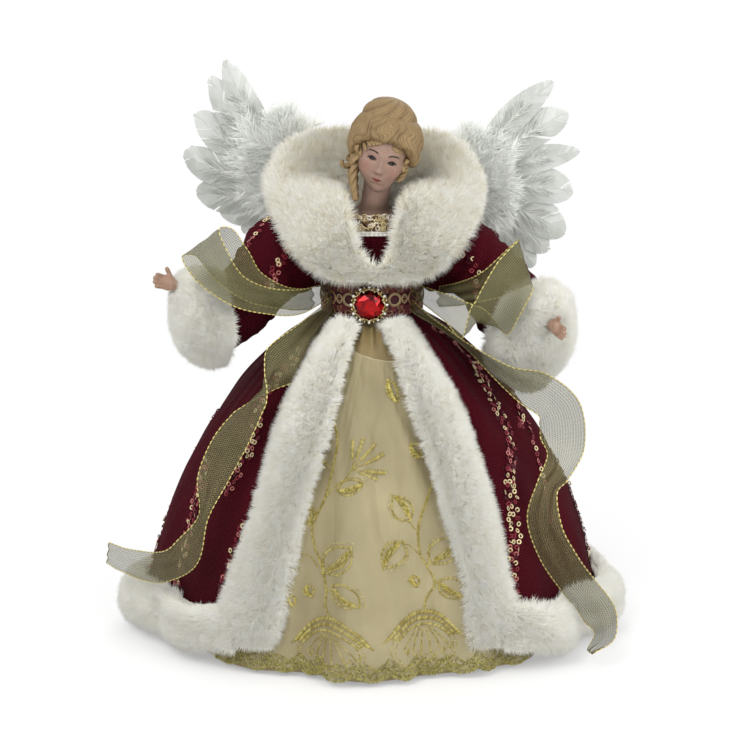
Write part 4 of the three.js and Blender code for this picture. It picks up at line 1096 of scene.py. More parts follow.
# bend has the wire's places from the shoulder; sleeve has a share of the wire, how far the sleeve hangs
# there, and half its height and depth
ARMS = {
    "left": dict(
        side=-1, slant=0.09, fingers=(-0.86, -0.4, 0.3),
        bend=[(-22, -9, -8), (-45, -23, -25), (-62, -34, -33), (-76, -41, -29)],
        sleeve=[(0.22, 11, 20, 11), (0.3, 6, 26, 15), (0.46, 2.5, 23, 17), (0.66, 9.5, 20.5, 15),
                (0.8, 12.5, 18.5, 14)],
        stripes=[([(0.3, 78), (0.4, 76), (0.52, 76), (0.66, 78)], 3.0, 4),
                 ([(0.3, 150), (0.4, 168), (0.52, 185), (0.64, 200)], 3.0, 7),
                 ([(0.34, 20), (0.5, 10), (0.66, 0)], 3.1, 6)]),
    "right": dict(
        side=1, slant=0.03, fingers=(0.35, -0.86, -0.3),
        bend=[(23, -8, -7), (47, -22, -22), (62, -40, -36), (70, -56, -42)],
        sleeve=[(0.22, 11, 20, 11), (0.3, 8, 25, 15), (0.46, 6, 21, 16.5), (0.66, 12.5, 23.5, 16),
                (0.8, 16, 24, 16)],
        stripes=[([(0.34, 165), (0.44, 160), (0.56, 175), (0.68, 190)], 3.0, 7),
                 ([(0.4, 60), (0.55, 40), (0.7, 30)], 3.1, 6)]),
}
SHOULDER = [(0, 0, -14), (0, 0, -8), (0, 0, -5), (0, 0, -2.4)]
SLEEVE_FROM, SLEEVE_TO = 0.22, 0.8
CUFF_FROM, CUFF_TO = 0.79, 0.94
UP = np.array([0, 0, 1.0])


def sleeve_ring(arm):
    """The sleeve's surface for a share of the wire, a turn round it and a growth."""
    side = arm["side"]
    fingers = unit(np.array(arm["fingers"]))
    bend = [*SHOULDER, (side * 2.6, -0.4, 0.2), (side * 7, -1.8, 0), *arm["bend"]]
    wrist = np.array(bend[-1]) + fingers * 7
    line = smooth_line([*bend, wrist - fingers * 5, wrist + fingers], 900) + [side * 24, 0, TORSO_TOP + 3]
    run = run_along(line)
    run /= run[-1]
    ways = unit(np.gradient(line, axis=0))
    stations = smooth_line(arm["sleeve"], 80)

    def ring(share, turn, grow, close=0.0):
        at = on_line(share, run, line)
        along = unit(on_line(share, run, ways))
        up = unit(UP - along * along[..., 2:])
        aside = np.cross(up, along)
        drop, high, deep = (np.interp(share, stations[:, 0], stations[:, k]) for k in (1, 2, 3))
        ripple = 1 + 0.05 * share * np.cos(5 * turn + 1)
        high, deep = (high + grow) * ripple, (deep + grow) * ripple
        spread = aside * (deep * np.cos(turn))[..., None] + up * (high * np.sin(turn) - drop)[..., None]
        wrist = 3.6 * (aside * np.cos(turn)[..., None] + up * np.sin(turn)[..., None])
        return at + lerp(spread, wrist, np.asarray(close)[..., None])

    return ring


def dress_arm(word, arm):
    """The sleeve, cuff and hand of one arm; gives back the sleeve's surface, by share and degrees."""
    body = f"{word}_arm"
    side = arm["side"]
    ring = sleeve_ring(arm)

    def cloth_at(share, turn, lift):
        across = (2 * np.cos(turn), 2 * np.sin(turn))
        crease = 0.9 * ripples(81 + side, *across, share * 26) + 0.4 * ripples(85, *across, share * 50)
        return ring(share, turn, crease * smoothstep(share, SLEEVE_FROM, 0.34) - 0.4 + lift)

    turn = turns(72)[None, :]
    shares, round_sleeve = np.broadcast_arrays(np.linspace(SLEEVE_FROM, SLEEVE_TO, 46)[:, None], turn)
    grid = cloth_at(shares, round_sleeve, 0.0)
    end = ring(0 * turn + SLEEVE_TO, turn, 0 * turn)
    middle = end.mean(1, keepdims=True)
    grid = np.concatenate([grid, lerp(end, middle, 0.35), lerp(end, middle, 0.75)])
    cloth = Body()
    cloth.add(grid, [grid_quads(*grid.shape[:2], True)[:, ::-1]], flat=flat_map(grid))
    sleeve = cloth.make(f"{word}_sleeve_cloth", body, [BURGUNDY], "burgundy_cloth", f"{word}_sleeve")

    along, closing = 16, 9
    w = np.concatenate([np.linspace(0, 1, along), np.full(closing, 1.0)])[:, None]
    close = np.concatenate([np.zeros(along), np.linspace(0.06, 0.96, closing)])[:, None]
    turn = turns(48)[None, :]
    slanted = arm["slant"] * (1 - np.sin(turn)) / 2 * w * (1 - close)
    shares = lerp(CUFF_FROM, CUFF_TO, w) + 0.03 * np.sqrt(1 - (1 - close) ** 2) - slanted
    close_in = 1.3 * np.clip(5 * w - 3, 0, 2)
    bumps = 1 + 0.2 * ripples(91 + side, np.cos(turn) * 2, np.sin(turn) * 2, w * 2)
    lift = 1.0 + 3.4 * rounded(lerp(0.06, 0.94, w)) * bumps - close_in
    shares, turn, close = np.broadcast_arrays(shares, turn, close)
    outside = ring(shares, turn, lift, close)
    inside = ring(shares - 0.03 * (close > 0), turn, 0.6 - close_in, close)
    backing(f"{word}_cuff_pelt", body, f"{word}_cuff", outside, inside, True)
    pile(f"{word}_cuff_pile", body, outside, inside, long=6.2, lay=(0.3, 0), seed=93 + side, wrap=True)
    hand = smooth_copy(f"{word}_cast_hand", body, f"{word}_hand", voxel=0.42, rounds=5, material=HAND)
    return lambda share, angle, lift: cloth_at(share, np.radians(angle), lift)


sleeve_places = [dress_arm(word, arm) for word, arm in ARMS.items()]
for (word, arm), place, seed in zip(ARMS.items(), sleeve_places, (101, 103)):
    sew_sequins(f"{word}_sleeve", f"{word}_arm", place, arm["stripes"], seed)


# Bodice and neckline

# Bodice stations: a height, and half the width and depth there
BODICE = [
    (184.3, 22, 22), (203, 21.5, 20), (218, 27.5, 19.5), (225, 27.5, 19), (230, 25.8, 17.6),
    (238, 21.5, 15.5),
]
NECKLINE = 238
ARMHOLE_HEIGHT, ARMHOLE_RADIUS = 233, 10
LOOP_STEPS, LOOP_SIDES = 12, 4


def bodice_at(angle, height, lift):
    """A place on the bodice, by the angle from the front and the height."""
    heights, wide, deep = np.array(BODICE).T
    return point((np.interp(height, heights, wide) + lift) * np.sin(angle),
                 -(np.interp(height, heights, deep) + lift) * np.cos(angle), height + 0 * angle)


def bodice():
    """The bodice's cloth, open where the arms come through."""
    angles, heights = np.meshgrid(turns(96), np.linspace(NECKLINE, 186, 40))
    outside = bodice_at(angles, heights, CLOTH)
    quads = grid_quads(*angles.shape, True)
    middle = outside.reshape(-1, 3)[quads].mean(1)
    near_arm = np.hypot(middle[:, 1], middle[:, 2] - ARMHOLE_HEIGHT) < ARMHOLE_RADIUS
    hole = near_arm & (np.abs(middle[:, 0]) > 12)
    cloth = Body()
    cloth.add(outside, [quads[~hole][:, ::-1]], flat=flat_map(outside))
    made = cloth.make("bodice_cloth", FIGURE, [BURGUNDY], "burgundy_cloth", "bodice")


def add_loops(body, centres, across, up, out, wide, high, thread, slots):
    """Small closed loops of thread lying on a surface."""
    turn = turns(LOOP_STEPS)[None, :, None]
    ring = turns(LOOP_SIDES)[None, None, :, None]
    line_way = np.cos(turn) * across[:, None] * wide + np.sin(turn) * up[:, None] * high
    spoke = unit(line_way)
    tube = thread * (np.cos(ring) * spoke[:, :, None] + np.sin(ring) * out[:, None, None])
    copies = (centres[:, None] + line_way)[:, :, None] + tube
    quads = grid_quads(LOOP_STEPS + 1, LOOP_SIDES, True) % (LOOP_STEPS * LOOP_SIDES)
    body.repeat(copies.reshape(len(centres), -1, 3), [quads[:, ::-1]], slots)


def neckline_braid():
    """Rows of gilt loops on a tape along the neckline, with white cord under them."""
    draw = np.random.default_rng(111)
    strip = Body()
    angles, heights = np.meshgrid(np.radians(np.linspace(-62, 62, 60)),
                                  np.linspace(NECKLINE + 1.2, NECKLINE - 6, 6))
    add_shell(strip, bodice_at(angles, heights, 2.4), bodice_at(angles, heights, 1.5))
    strip.make("neckline_tape", FIGURE, [LACE], "gilt_braid", "neckline_trim")
    loops = Body()
    for height, wide, count in ((1.4, 1.5, 34), (-0.8, 1.2, 42), (-2.8, 1.3, 40), (-4.8, 1.2, 42)):
        angle = np.radians(np.linspace(-61, 61, count)) + draw.normal(0, 0.01, count)
        level = NECKLINE + height + draw.normal(0, 0.35, count)
        centre = bodice_at(angle, level, 2.9)
        across = unit(point(np.cos(angle), np.sin(angle), 0))
        out = unit(point(np.sin(angle), -np.cos(angle), 0) + draw.normal(0, 0.3, (count, 3)))
        tint = draw.integers(0, 4, count)
        add_loops(loops, centre, across, np.cross(out, across), out, wide, wide * 0.9, 0.42, tint)
    loops.make("neckline_loops", FIGURE, NECK_BRAID, "gilt_braid")
    cord = Body()
    angle = np.radians(np.linspace(-58, 58, 90))
    twist = 1 + 0.2 * np.cos(angle * 70)
    for drop, radius in ((-7.0, 0.9), (-8.4, 0.7)):
        add_tube(cord, bodice_at(angle, NECKLINE + drop + 0 * angle, 1.7), radius * twist, 6)
    cord.make("neckline_cord", FIGURE, [WHITE_CORD], "gilt_braid")


bodice()
neckline_braid()


# Belt and brooch

# Rows of loops on the belt: a height, how many, a shift by part of a step, half their width and height, the
# thread's radius, their tints in turn and a lift
BELT_ROWS = [
    (1.6, 46, 0, 2.2, 1.6, 0.42, [0, 2, 0], 0.0), (1.6, 46, 0.5, 2.0, 1.1, 0.36, [1, 0], 0.0),
    (16.4, 46, 0, 2.2, 1.6, 0.42, [0, 2, 0], 0.0), (16.4, 46, 0.5, 2.0, 1.1, 0.36, [1, 0], 0.0),
    (4.2, 60, 0, 1.6, 1.3, 0.4, [0, 2], 0.0), (4.2, 60, 0.5, 1.5, 0.7, 0.35, [0, 0, 1], 0.0),
    (13.8, 60, 0, 1.6, 1.3, 0.4, [0, 2], 0.0), (13.8, 60, 0.5, 1.5, 0.7, 0.35, [0, 0, 1], 0.0),
    (9, 14, 0, 4.0, 3.8, 0.36, [1], 0.5), (9, 14, 0, 3.2, 3.0, 0.3, [0, 3], 0.5),
    (9, 14, 0.5, 1.9, 2.4, 0.36, [3], 0.4), (9, 14, 0.5, 2.8, 0.9, 0.32, [1], 0.5),
    (9, 14, 0.5, 1.2, 1.6, 0.3, [0], 0.4),
]


def belt():
    """A lace band covered with rows of looped thread."""
    angles, heights = np.meshgrid(turns(120), np.linspace(BELT_BOTTOM + BELT_TALL, BELT_BOTTOM, 10))

    def band(radius):
        return point(radius * np.sin(angles), -radius * np.cos(angles), heights)

    cloth = Body()
    add_shell(cloth, band(BELT_RADIUS - 0.9), band(BELT_RADIUS - 2), True)
    base = cloth.make("belt_band", FIGURE, [LACE], "belt_lace", "belt_braid")
    loops = Body()
    for height, count, shift, wide, high, thread, slots, lift in BELT_ROWS:
        angle = (np.arange(count) + shift) / count * TAU
        out = point(np.sin(angle), -np.cos(angle), 0)
        across = point(np.cos(angle), np.sin(angle), 0)
        up = np.broadcast_to(UP, out.shape)
        centre = out * (BELT_RADIUS - 0.5 + lift) + UP * (BELT_BOTTOM + height)
        add_loops(loops, centre, across, up, out, wide, high, thread, np.resize(slots, count))
    loops.make("belt_loops", FIGURE, BRAID, "belt_lace")


BROOCH = np.array([-1.6, -29.6, 192.5])
SETTING_RADIUS = 11
GEM_RADIUS = 8.2

# Outline of the setting and rings of the gem's corners: a share of the radius and a height; for the gem,
# also how many corners and by how much of a step they are turned
SETTING_ROWS = [
    (0.98, 0.0), (1.0, 0.8), (0.96, 1.9), (0.91, 2.5), (0.86, 2.9), (0.83, 3.5), (0.795, 3.5), (0.785, 1.4),
]
GEM_RINGS = [(0.52, 6.2, 8, 0), (0.8, 5.2, 8, 0.5), (1.0, 3.7, 16, 0), (1.0, 3.2, 16, 0), (0.8, 1.5, 12, 0)]
CLAW = [(9.2, 2.6), (8.9, 3.9), (8.1, 4.4), (7.6, 4.5)]


def brooch_place(reach, turn, rise):
    """A place on the brooch: how far from its middle, which way, and how far out from its back."""
    return point(BROOCH[0] + reach * np.cos(turn), BROOCH[1] - rise, BROOCH[2] + reach * np.sin(turn))


def brooch():
    """A scalloped gilt setting with small stones and claws, and a faceted gem."""
    metal, stones = Body(), Body()
    around = 96
    turn = turns(around)
    scalloped = SETTING_RADIUS * (0.94 + 0.06 * np.cos(12 * turn))
    grid = np.stack([brooch_place(scalloped * share, turn, rise) for share, rise in SETTING_ROWS])
    rim = np.arange(around)
    inner = (len(SETTING_ROWS) - 1) * around
    metal.add(grid, [grid_quads(len(SETTING_ROWS), around, True), rim[None, ::-1], (inner + rim)[None]])
    ball_turn = turns(10)[None, :]
    ball_tilt = np.linspace(0.05, math.pi - 0.05, 7)[:, None]
    level = np.sin(ball_tilt)
    ball = point(level * np.cos(ball_turn), level * np.sin(ball_turn), np.cos(ball_tilt))
    for i, turn in enumerate(turns(24)):
        holder, reach, radius = (metal, 9.9, 0.6) if i % 2 else (stones, 10.0, 0.95)
        holder.add(brooch_place(reach, turn, 2.3) + radius * ball, [grid_quads(*ball.shape[:2], True)])
    for i in range(8):
        turn = (i + 0.5) / 8 * TAU
        claw = [brooch_place(reach, turn, rise) for reach, rise in CLAW]
        add_tube(metal, smooth_line(claw, 8), np.linspace(0.6, 0.35, 9), 6)
    metal.make("brooch_mount", FIGURE, [GILT], "gilt_metal", "brooch_setting")
    stones.make("brooch_stones", FIGURE, [STONE], "gilt_metal")

    cut = bmesh.new()
    for share, rise, count, shift in GEM_RINGS:
        for i in range(count):
            cut.verts.new(brooch_place(GEM_RADIUS * share, (i + shift) / count * TAU, rise) * MM)
    bmesh.ops.convex_hull(cut, input=cut.verts)
    mesh = bpy.data.meshes.new("cut_gem")
    bmesh.ops.recalc_face_normals(cut, faces=cut.faces)
    cut.to_mesh(mesh)
    mesh.materials.append(GEM)
    gem = bpy.data.objects.new("cut_gem", mesh)
    bpy.context.scene.collection.objects.link(gem)
    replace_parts(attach(gem, FIGURE), "brooch_gem")


belt()
brooch()


# Head: a cast face with painted features, and moulded hair

NOD, ROLL = math.radians(6), math.radians(17)
NOD_TURN = np.array([[1, 0, 0], [0, math.cos(NOD), -math.sin(NOD)], [0, math.sin(NOD), math.cos(NOD)]])
ROLL_TURN = np.array([[math.cos(ROLL), 0, math.sin(ROLL)], [0, 1, 0], [-math.sin(ROLL), 0, math.cos(ROLL)]])
HEAD_TURN = NOD_TURN @ ROLL_TURN
HEAD_CENTRE = np.array([5.4, -13, TORSO_TOP + 47.4])
FACE_CENTRE = np.array([0, -5, -3])
FACE_SIZE = np.array([14.4, 17, 20.5])
FACE_SHARE = 0.94
SKIN_TONE = (148, 122, 108)

# Forms of the face: across, up, half width, half height and how far they stand out; on both sides unless
# in the middle
FACE_FORMS = [
    (5.9, -2.6, 3.2, 2.0, -1.5), (5.9, -2.9, 2.2, 1.2, 0.9), (5.8, 2.0, 4.2, 1.4, 0.5),
    (0, 0.5, 1.8, 3.0, 0.5), (0, -4.5, 1.5, 3.2, 1.7), (0, -8.2, 1.7, 1.7, 2.4),
    (1.7, -8.8, 1.1, 1.0, 1.0), (0, -13.2, 4.0, 3.0, 1.1), (1.1, -13.0, 1.4, 0.6, 0.55),
    (0, -15.0, 1.9, 0.75, 0.8), (0, -13.95, 2.9, 0.3, -0.7), (0, -17.2, 2.8, 1.0, -0.7),
    (0, -20.3, 3.4, 2.4, 1.4), (8.2, -8.5, 4.2, 4.2, 0.8), (0, -11.0, 0.7, 1.2, -0.25),
]


def in_head(local):
    """Places in the head's own frame, in the figure's."""
    return np.asarray(local, float) @ HEAD_TURN.T + HEAD_CENTRE


def face_relief(x, z):
    """How far the face stands out, by place."""
    total = 0
    for across, up, wide, high, amount in FACE_FORMS:
        for place in {across, -across}:
            total = total + amount * np.exp(-(((x - place) / wide) ** 2) - ((z - up) / high) ** 2)
    return total


def face_paint(x, z, front):
    """The face's colours by place."""
    colour = np.broadcast_to(linear(SKIN_TONE), (*x.shape, 3)).copy()

    def dab(rgb, mask):
        colour[:] = lerp(colour, linear(rgb), np.clip(mask * front, 0, 1)[..., None])

    wide = np.abs(x)
    dab((158, 100, 92), 0.36 * np.exp(-(((wide - 8.6) / 3.6) ** 2) - ((z + 8.6) / 3.2) ** 2))
    dab((160, 124, 116), 0.5 * np.exp(-(((wide - 5.9) / 3.0) ** 2) - ((z + 0.6) / 1.2) ** 2))
    u = (wide - 5.9) / 2.5
    up = z + 2.9
    arch = np.clip(1 - u**2, -1, 1)
    upper, lower = 1.05 * arch, -0.72 * arch
    eye = smoothstep(np.minimum(upper - up, up - lower), -0.05, 0.2)
    dab((146, 132, 122), eye)
    gaze = np.hypot(wide - 5.85, up + 0.02)
    dab((26, 19, 15), eye * smoothstep(1.75 - gaze, 0, 0.2))
    dab((10, 8, 8), eye * smoothstep(0.85 - gaze, 0, 0.2))
    # A small white dot in each eye, a painted highlight.
    dab((240, 240, 240), eye * smoothstep(0.17 - np.hypot(wide - 5.6, up - 0.4), 0, 0.12))
    near_eye = (np.abs(u) < 1.08).astype(float)
    dab((24, 16, 14), near_eye * smoothstep(0.58 - np.abs(up - upper - 0.15), 0, 0.16))
    dab((116, 82, 72), 0.6 * near_eye * smoothstep(0.2 - np.abs(up - lower), 0, 0.15))
    dab((122, 86, 76), 0.7 * (np.abs(u) < 0.95) * smoothstep(0.2 - np.abs(up - upper - 0.85), 0, 0.15))
    brow = 0.75 + 1.25 * np.clip(1 - ((wide - 6.4) / 3.9) ** 2, 0, 1)
    taper = smoothstep(wide, 2.4, 3.6) * smoothstep(10.2 - wide, 0, 2.5)
    dab((32, 24, 20), taper * smoothstep(0.58 - np.abs(z - brow), 0, 0.25))
    dab((112, 70, 62), 0.7 * smoothstep(0.55 - np.hypot(wide - 1.15, (z + 9.7) * 1.3), 0, 0.3))
    bow = 1.25 * np.clip(1 - (x / 3.2) ** 2, 0, 1) * (1 - 0.3 * np.exp(-((x / 0.75) ** 2)))
    full = 1.5 * np.clip(1 - (x / 2.8) ** 2, 0, 1)
    mouth = z + 13.95
    dab((130, 72, 64), smoothstep(np.minimum(bow - mouth, mouth + full), -0.05, 0.25) * (wide < 3.2))
    dab((88, 38, 38), (wide < 2.9) * smoothstep(0.24 - np.abs(mouth), 0, 0.16))
    return colour


def add_face(body):
    """The painted face and the skull behind it."""
    rows, around = 170, 220
    t = np.linspace(-1, 1, around + 1)[None, :-1]
    turn = math.pi * np.sign(t) * np.abs(t) ** 1.45
    tilt = np.linspace(0.03, math.pi - 0.03, rows)[:, None]
    way = point(np.sin(tilt) * np.sin(turn), -np.sin(tilt) * np.cos(turn), np.cos(tilt))
    local = FACE_CENTRE + way * FACE_SIZE
    local[..., 0] *= 1 - 0.2 * smoothstep(-local[..., 2], 4, 24)
    front = smoothstep(-local[..., 1], 9, 15)
    local += way * (face_relief(local[..., 0], local[..., 2]) * front)[..., None]
    paint = face_paint(local[..., 0], local[..., 2], front)
    local[..., 0] += 0.7 + 2.8 * smoothstep(-local[..., 2], 11, 24) + 0.05 * np.maximum(local[..., 0], 0)
    quads = grid_quads(rows, around, True)[:, ::-1]
    body.add(in_head(local * FACE_SHARE), [quads], paint=paint.reshape(-1, 3))


def add_neck(body):
    """The neck and shoulder plate."""
    stations = [
        (0, 0, TORSO_TOP + 0.3, 19, 14), (0, 0, TORSO_TOP + 8, 17, 12.5),
        (0.5, -2, TORSO_TOP + 13, 10.5, 9.5), (1.5, -6, TORSO_TOP + 18, 8, 8),
        (2.4, -8, TORSO_TOP + 24, 7.8, 7.8), (4, -11, TORSO_TOP + 36, 8, 8),
    ]
    around = 64
    turn = turns(around)
    grid = np.stack([point(x + wide * np.cos(turn), y + deep * np.sin(turn), z)
                     for x, y, z, wide, deep in smooth_line(stations, 60)])
    # Painted shade under the chin: the upper neck takes its own shading colour, blending into the skin tone
    # towards the shoulders.
    low = smoothstep(-grid[..., 2], -TORSO_TOP - 30, -TORSO_TOP - 14)
    shade = lerp(linear((156, 127, 118)), linear(SKIN_TONE), low[..., None])
    quads = grid_quads(len(grid), around, True)
    body.add(grid, [quads, np.arange(around)[None, ::-1]], paint=shade.reshape(-1, 3))


HAIR_CENTRE = np.array([0.8, 0.5, 3.0])
HAIR_SIZE = np.array([20.2, 21.0, 21.5])
# The hair's paint in a shaded and a lit colour: grooves and undersides take the shaded one as painted shade,
# ridges and outer sides the lit one as painted highlight.
HAIR_SHADED = linear((88, 67, 42))
HAIR_LIT = linear((147, 123, 86))


def add_lock(body, local, wide):
    """A moulded lock of hair along a line of places in the head's own frame."""
    local = np.asarray(local, float)
    steps = np.arange(len(local))
    taper = np.clip(np.minimum(steps + 1, len(local) - steps) / 4, 0.25, 1)
    out = unit(local - HAIR_CENTRE) @ HEAD_TURN.T
    add_tube(body, in_head(local), wide / 2 * taper, 10, paint=(HAIR_SHADED, HAIR_LIT), squash=0.7, out=out)


def hairline(turn):
    """The height of the hair's lower edge, by the turn from the front."""
    wide = np.abs(turn)
    sides = (13.7 - 1.5 * np.sin(turn)) * smoothstep(wide, 0.45, 1.3)
    return 7.5 - sides - 5 * smoothstep(wide, 1.4, 2.5) + 0.5 * np.sin(7 * turn + 1) + 0.4 * np.sin(13 * turn)


def add_swept_hair(body):
    """Hair drawn up from the face to the crown in uneven wavy grooves, rolled under at its edge."""
    around, swept, rolled = 540, 64, [0.06, 0.14, 0.26]
    turn = np.linspace(-math.pi, math.pi, around + 1)[None, :-1]
    rows = np.concatenate([np.linspace(0.03, 1, swept), np.ones(len(rolled))])[:, None]
    under = np.concatenate([np.zeros(swept), rolled])[:, None]
    edge = np.arccos(np.clip((hairline(turn) - HAIR_CENTRE[2]) / HAIR_SIZE[2], -1, 1))
    tilt = rows * edge
    sway = np.sin(10 * tilt + 2.2 * np.sin(2 * turn) + 1.3 * np.sin(5 * turn))
    strand = turn + 0.13 * sway * smoothstep(tilt, 0.5, 1.1)
    uneven = 2.2 * np.sin(3 * strand + 1) + 1.4 * np.sin(7 * strand + 2 + 2 * tilt)
    fine = np.abs(np.sin(38 * strand + uneven))
    broad = np.abs(np.sin(8 * strand + 0.7 * uneven + 1.5 * tilt))
    shown = smoothstep(tilt, 0.6, 1.1)
    groove = (0.5 * fine**0.6 + 0.9 * broad**0.6 - 1.4) * shown
    puff = 1.6 * np.sin(math.pi * np.clip(rows, 0, 1)) ** 0.5
    lip = 2.0 * smoothstep(rows, 0.7, 0.92) * (1 - smoothstep(rows, 0.95, 1)) * (1 + 0.5 * np.sin(11 * turn))
    way = point(np.sin(tilt) * np.sin(turn), -np.sin(tilt) * np.cos(turn), np.cos(tilt))
    tuck = 1 - 0.16 * smoothstep(rows, 0.62, 1) * smoothstep(np.abs(turn), 0.8, 1.5)
    crown = 1 - 0.13 * (1 - smoothstep(tilt, 0.3, 0.9))
    proud = (groove + puff + lip)[..., None] * (1 - 2 * under[..., None])
    local = HAIR_CENTRE + way * (HAIR_SIZE * crown[..., None] + proud) * tuck[..., None]
    local = HAIR_CENTRE + (local - HAIR_CENTRE) * (1 - under[..., None])
    # Painted shade and highlight: darker in the grooves and lighter on the ridges, by the same waves as the
    # relief, and the rolled-under edge in the shaded colour as painted shade under the roll.
    tone = np.clip(lerp(0.75, 0.55 * fine**0.7 + 0.45 * broad**0.7, shown) - 2.5 * under, 0, 1)
    paint = lerp(HAIR_SHADED, HAIR_LIT, tone[..., None])
    body.add(in_head(local), [grid_quads(len(rows), around, True)[:, ::-1]], paint=paint.reshape(-1, 3))


def add_bun(body):
    """The twisted bun on the crown."""
    rows, around = 60, 240
    turn = turns(around)[None, :]
    tilt = np.linspace(0.02, 2.3, rows)[:, None]
    twist = turn + 0.9 * tilt
    broad = np.abs(np.sin(4 * twist + 0.8 * np.sin(2 * turn)))
    fine = np.abs(np.sin(19 * twist + np.sin(5 * turn)))
    size = 1 + (0.05 * (broad**0.5 - 1) + 0.018 * (fine**0.6 - 1)) * np.sin(tilt)
    way = point(np.sin(tilt) * np.sin(turn) * 15.8, -np.sin(tilt) * np.cos(turn) * 14.6, np.cos(tilt) * 12.2)
    local = np.array([-0.8, 2.2, 17.2]) + way * size[..., None]
    # Painted shade in the bun's grooves and painted highlight on its ridges, by the same waves as the relief.
    tone = np.clip(0.5 * broad**0.6 + 0.5 * fine**0.7, 0, 1)
    paint = lerp(HAIR_SHADED, HAIR_LIT, tone[..., None])
    body.add(in_head(local), [grid_quads(rows, around, True)[:, ::-1]], paint=paint.reshape(-1, 3))


def add_forelock(body, x, z, drop, sway):
    """A short wavy lock that lies on the brow or temple."""
    t = np.linspace(0, 1, 18)
    across, up = x + sway * np.sin(1.2 * math.pi * t), z - drop * t
    level = (up / FACE_SHARE - FACE_CENTRE[2]) / FACE_SIZE[2]
    room = np.clip(1 - (across / FACE_SHARE / FACE_SIZE[0]) ** 2 - level**2, 0.02, 1)
    deep = FACE_SHARE * (FACE_CENTRE[1] - FACE_SIZE[1] * np.sqrt(room)) - 0.4
    add_lock(body, np.stack([across, deep, up], 1), 2.6)


def add_ringlet(body, places, radius, winds, wide):
    """A hanging ringlet: three locks wound round one another along a line of places."""
    line = smooth_line(places, 48)
    t = np.linspace(0, 1, len(line))
    along = unit(np.gradient(line, axis=0))
    side = unit(np.cross(along, [0.2, 1, 0.1]))
    other = np.cross(along, side)
    reach = radius * (1 - 0.65 * t**2)[:, None]
    for start in THIRDS:
        spin = (start + winds * TAU * t)[:, None]
        add_lock(body, line + reach * (side * np.cos(spin) + other * np.sin(spin)), wide)


# Forelocks: across, up, how far down each hangs and how far it sways
FORELOCKS = [
    (-2.6, 8.8, 2.6, -1.2), (-4.4, 8.8, 3.4, -1.5), (-6.2, 8.6, 4.2, -1.6), (-8.0, 8.0, 4.8, -1.6),
    (-9.8, 6.8, 6.6, -1.5), (-11.4, 4.6, 8.6, -1.0), (5.2, 8.8, 3.6, 1.4), (6.8, 8.6, 4.4, 1.6),
    (8.4, 8.0, 5.2, 1.6), (10.0, 6.8, 6.6, 1.5), (11.6, 5.0, 8.2, 1.2), (12.8, 2.6, 9.0, 0.8),
]

# Ringlets: the line of each, its radius, how often it winds and how wide a lock is
RINGLETS = [
    ([(-12.5, -7.5, -8), (-11.2, -9.5, -16), (-8.6, -11.5, -23), (-6.0, -13, -29)], 1.7, 1.5, 3.2),
    ([(-13.5, -4, -8), (-12.5, -5, -16), (-10.5, -6, -23)], 1.5, 1.2, 3.0),
    ([(-13.0, -6, -9), (-16.4, -7, -13), (-19.0, -7.5, -12.6), (-19.6, -7.5, -10.2)], 0.9, 1.0, 2.0),
    ([(15.0, -9, -4), (14.4, -10, -9), (12.8, -10.5, -12.5)], 1.3, 1.3, 2.3),
]


def add_hair(body):
    """The swept hair and bun, with forelocks, wavy side locks and ringlets."""
    add_swept_hair(body)
    add_bun(body)
    for forelock in FORELOCKS:
        add_forelock(body, *forelock)
    t = np.linspace(0, 1, 30)[:, None]
    for side, long in ((-1, 11.0), (1, 7.5)):
        for k in range(6):
            top = np.array([side * (13.4 + 0.7 * k), -13.4 + 2.8 * k, 1.5 - 0.4 * k])
            low = np.array([side * (12.6 + 0.6 * k), -11.4 + 2.9 * k, 1.5 - long - 0.5 * k])
            sway = np.array([1.1 * side, -0.7, 0]) * np.sin(9 * t + 1.3 * k)
            add_lock(body, lerp(top, low, t) + sway, 3.0)
    for ringlet in RINGLETS:
        add_ringlet(body, *ringlet)


def head():
    """The cast head, neck and shoulders, and the moulded hair."""
    skin, hair = Body(), Body()
    add_face(skin)
    add_neck(skin)
    add_hair(hair)
    skin.make("cast_face", FIGURE, [SKIN], "painted_resin", "head_bust")
    hair.make("moulded_hair", FIGURE, [HAIR], "painted_resin")


head()


# Ribbons: each station is a place, the way that the width lies and a share of the width

def belt_root(side, rise):
    """Where a ribbon comes off the belt: side -1 or 1, and a height from the belt's middle."""
    angle = side * math.radians(50)
    radius = BELT_RADIUS + 0.3 + (0.1 if rise < 0 else 0.7)
    return (radius * math.sin(angle), -radius * math.cos(angle), BELT_BOTTOM + BELT_TALL / 2 + rise)


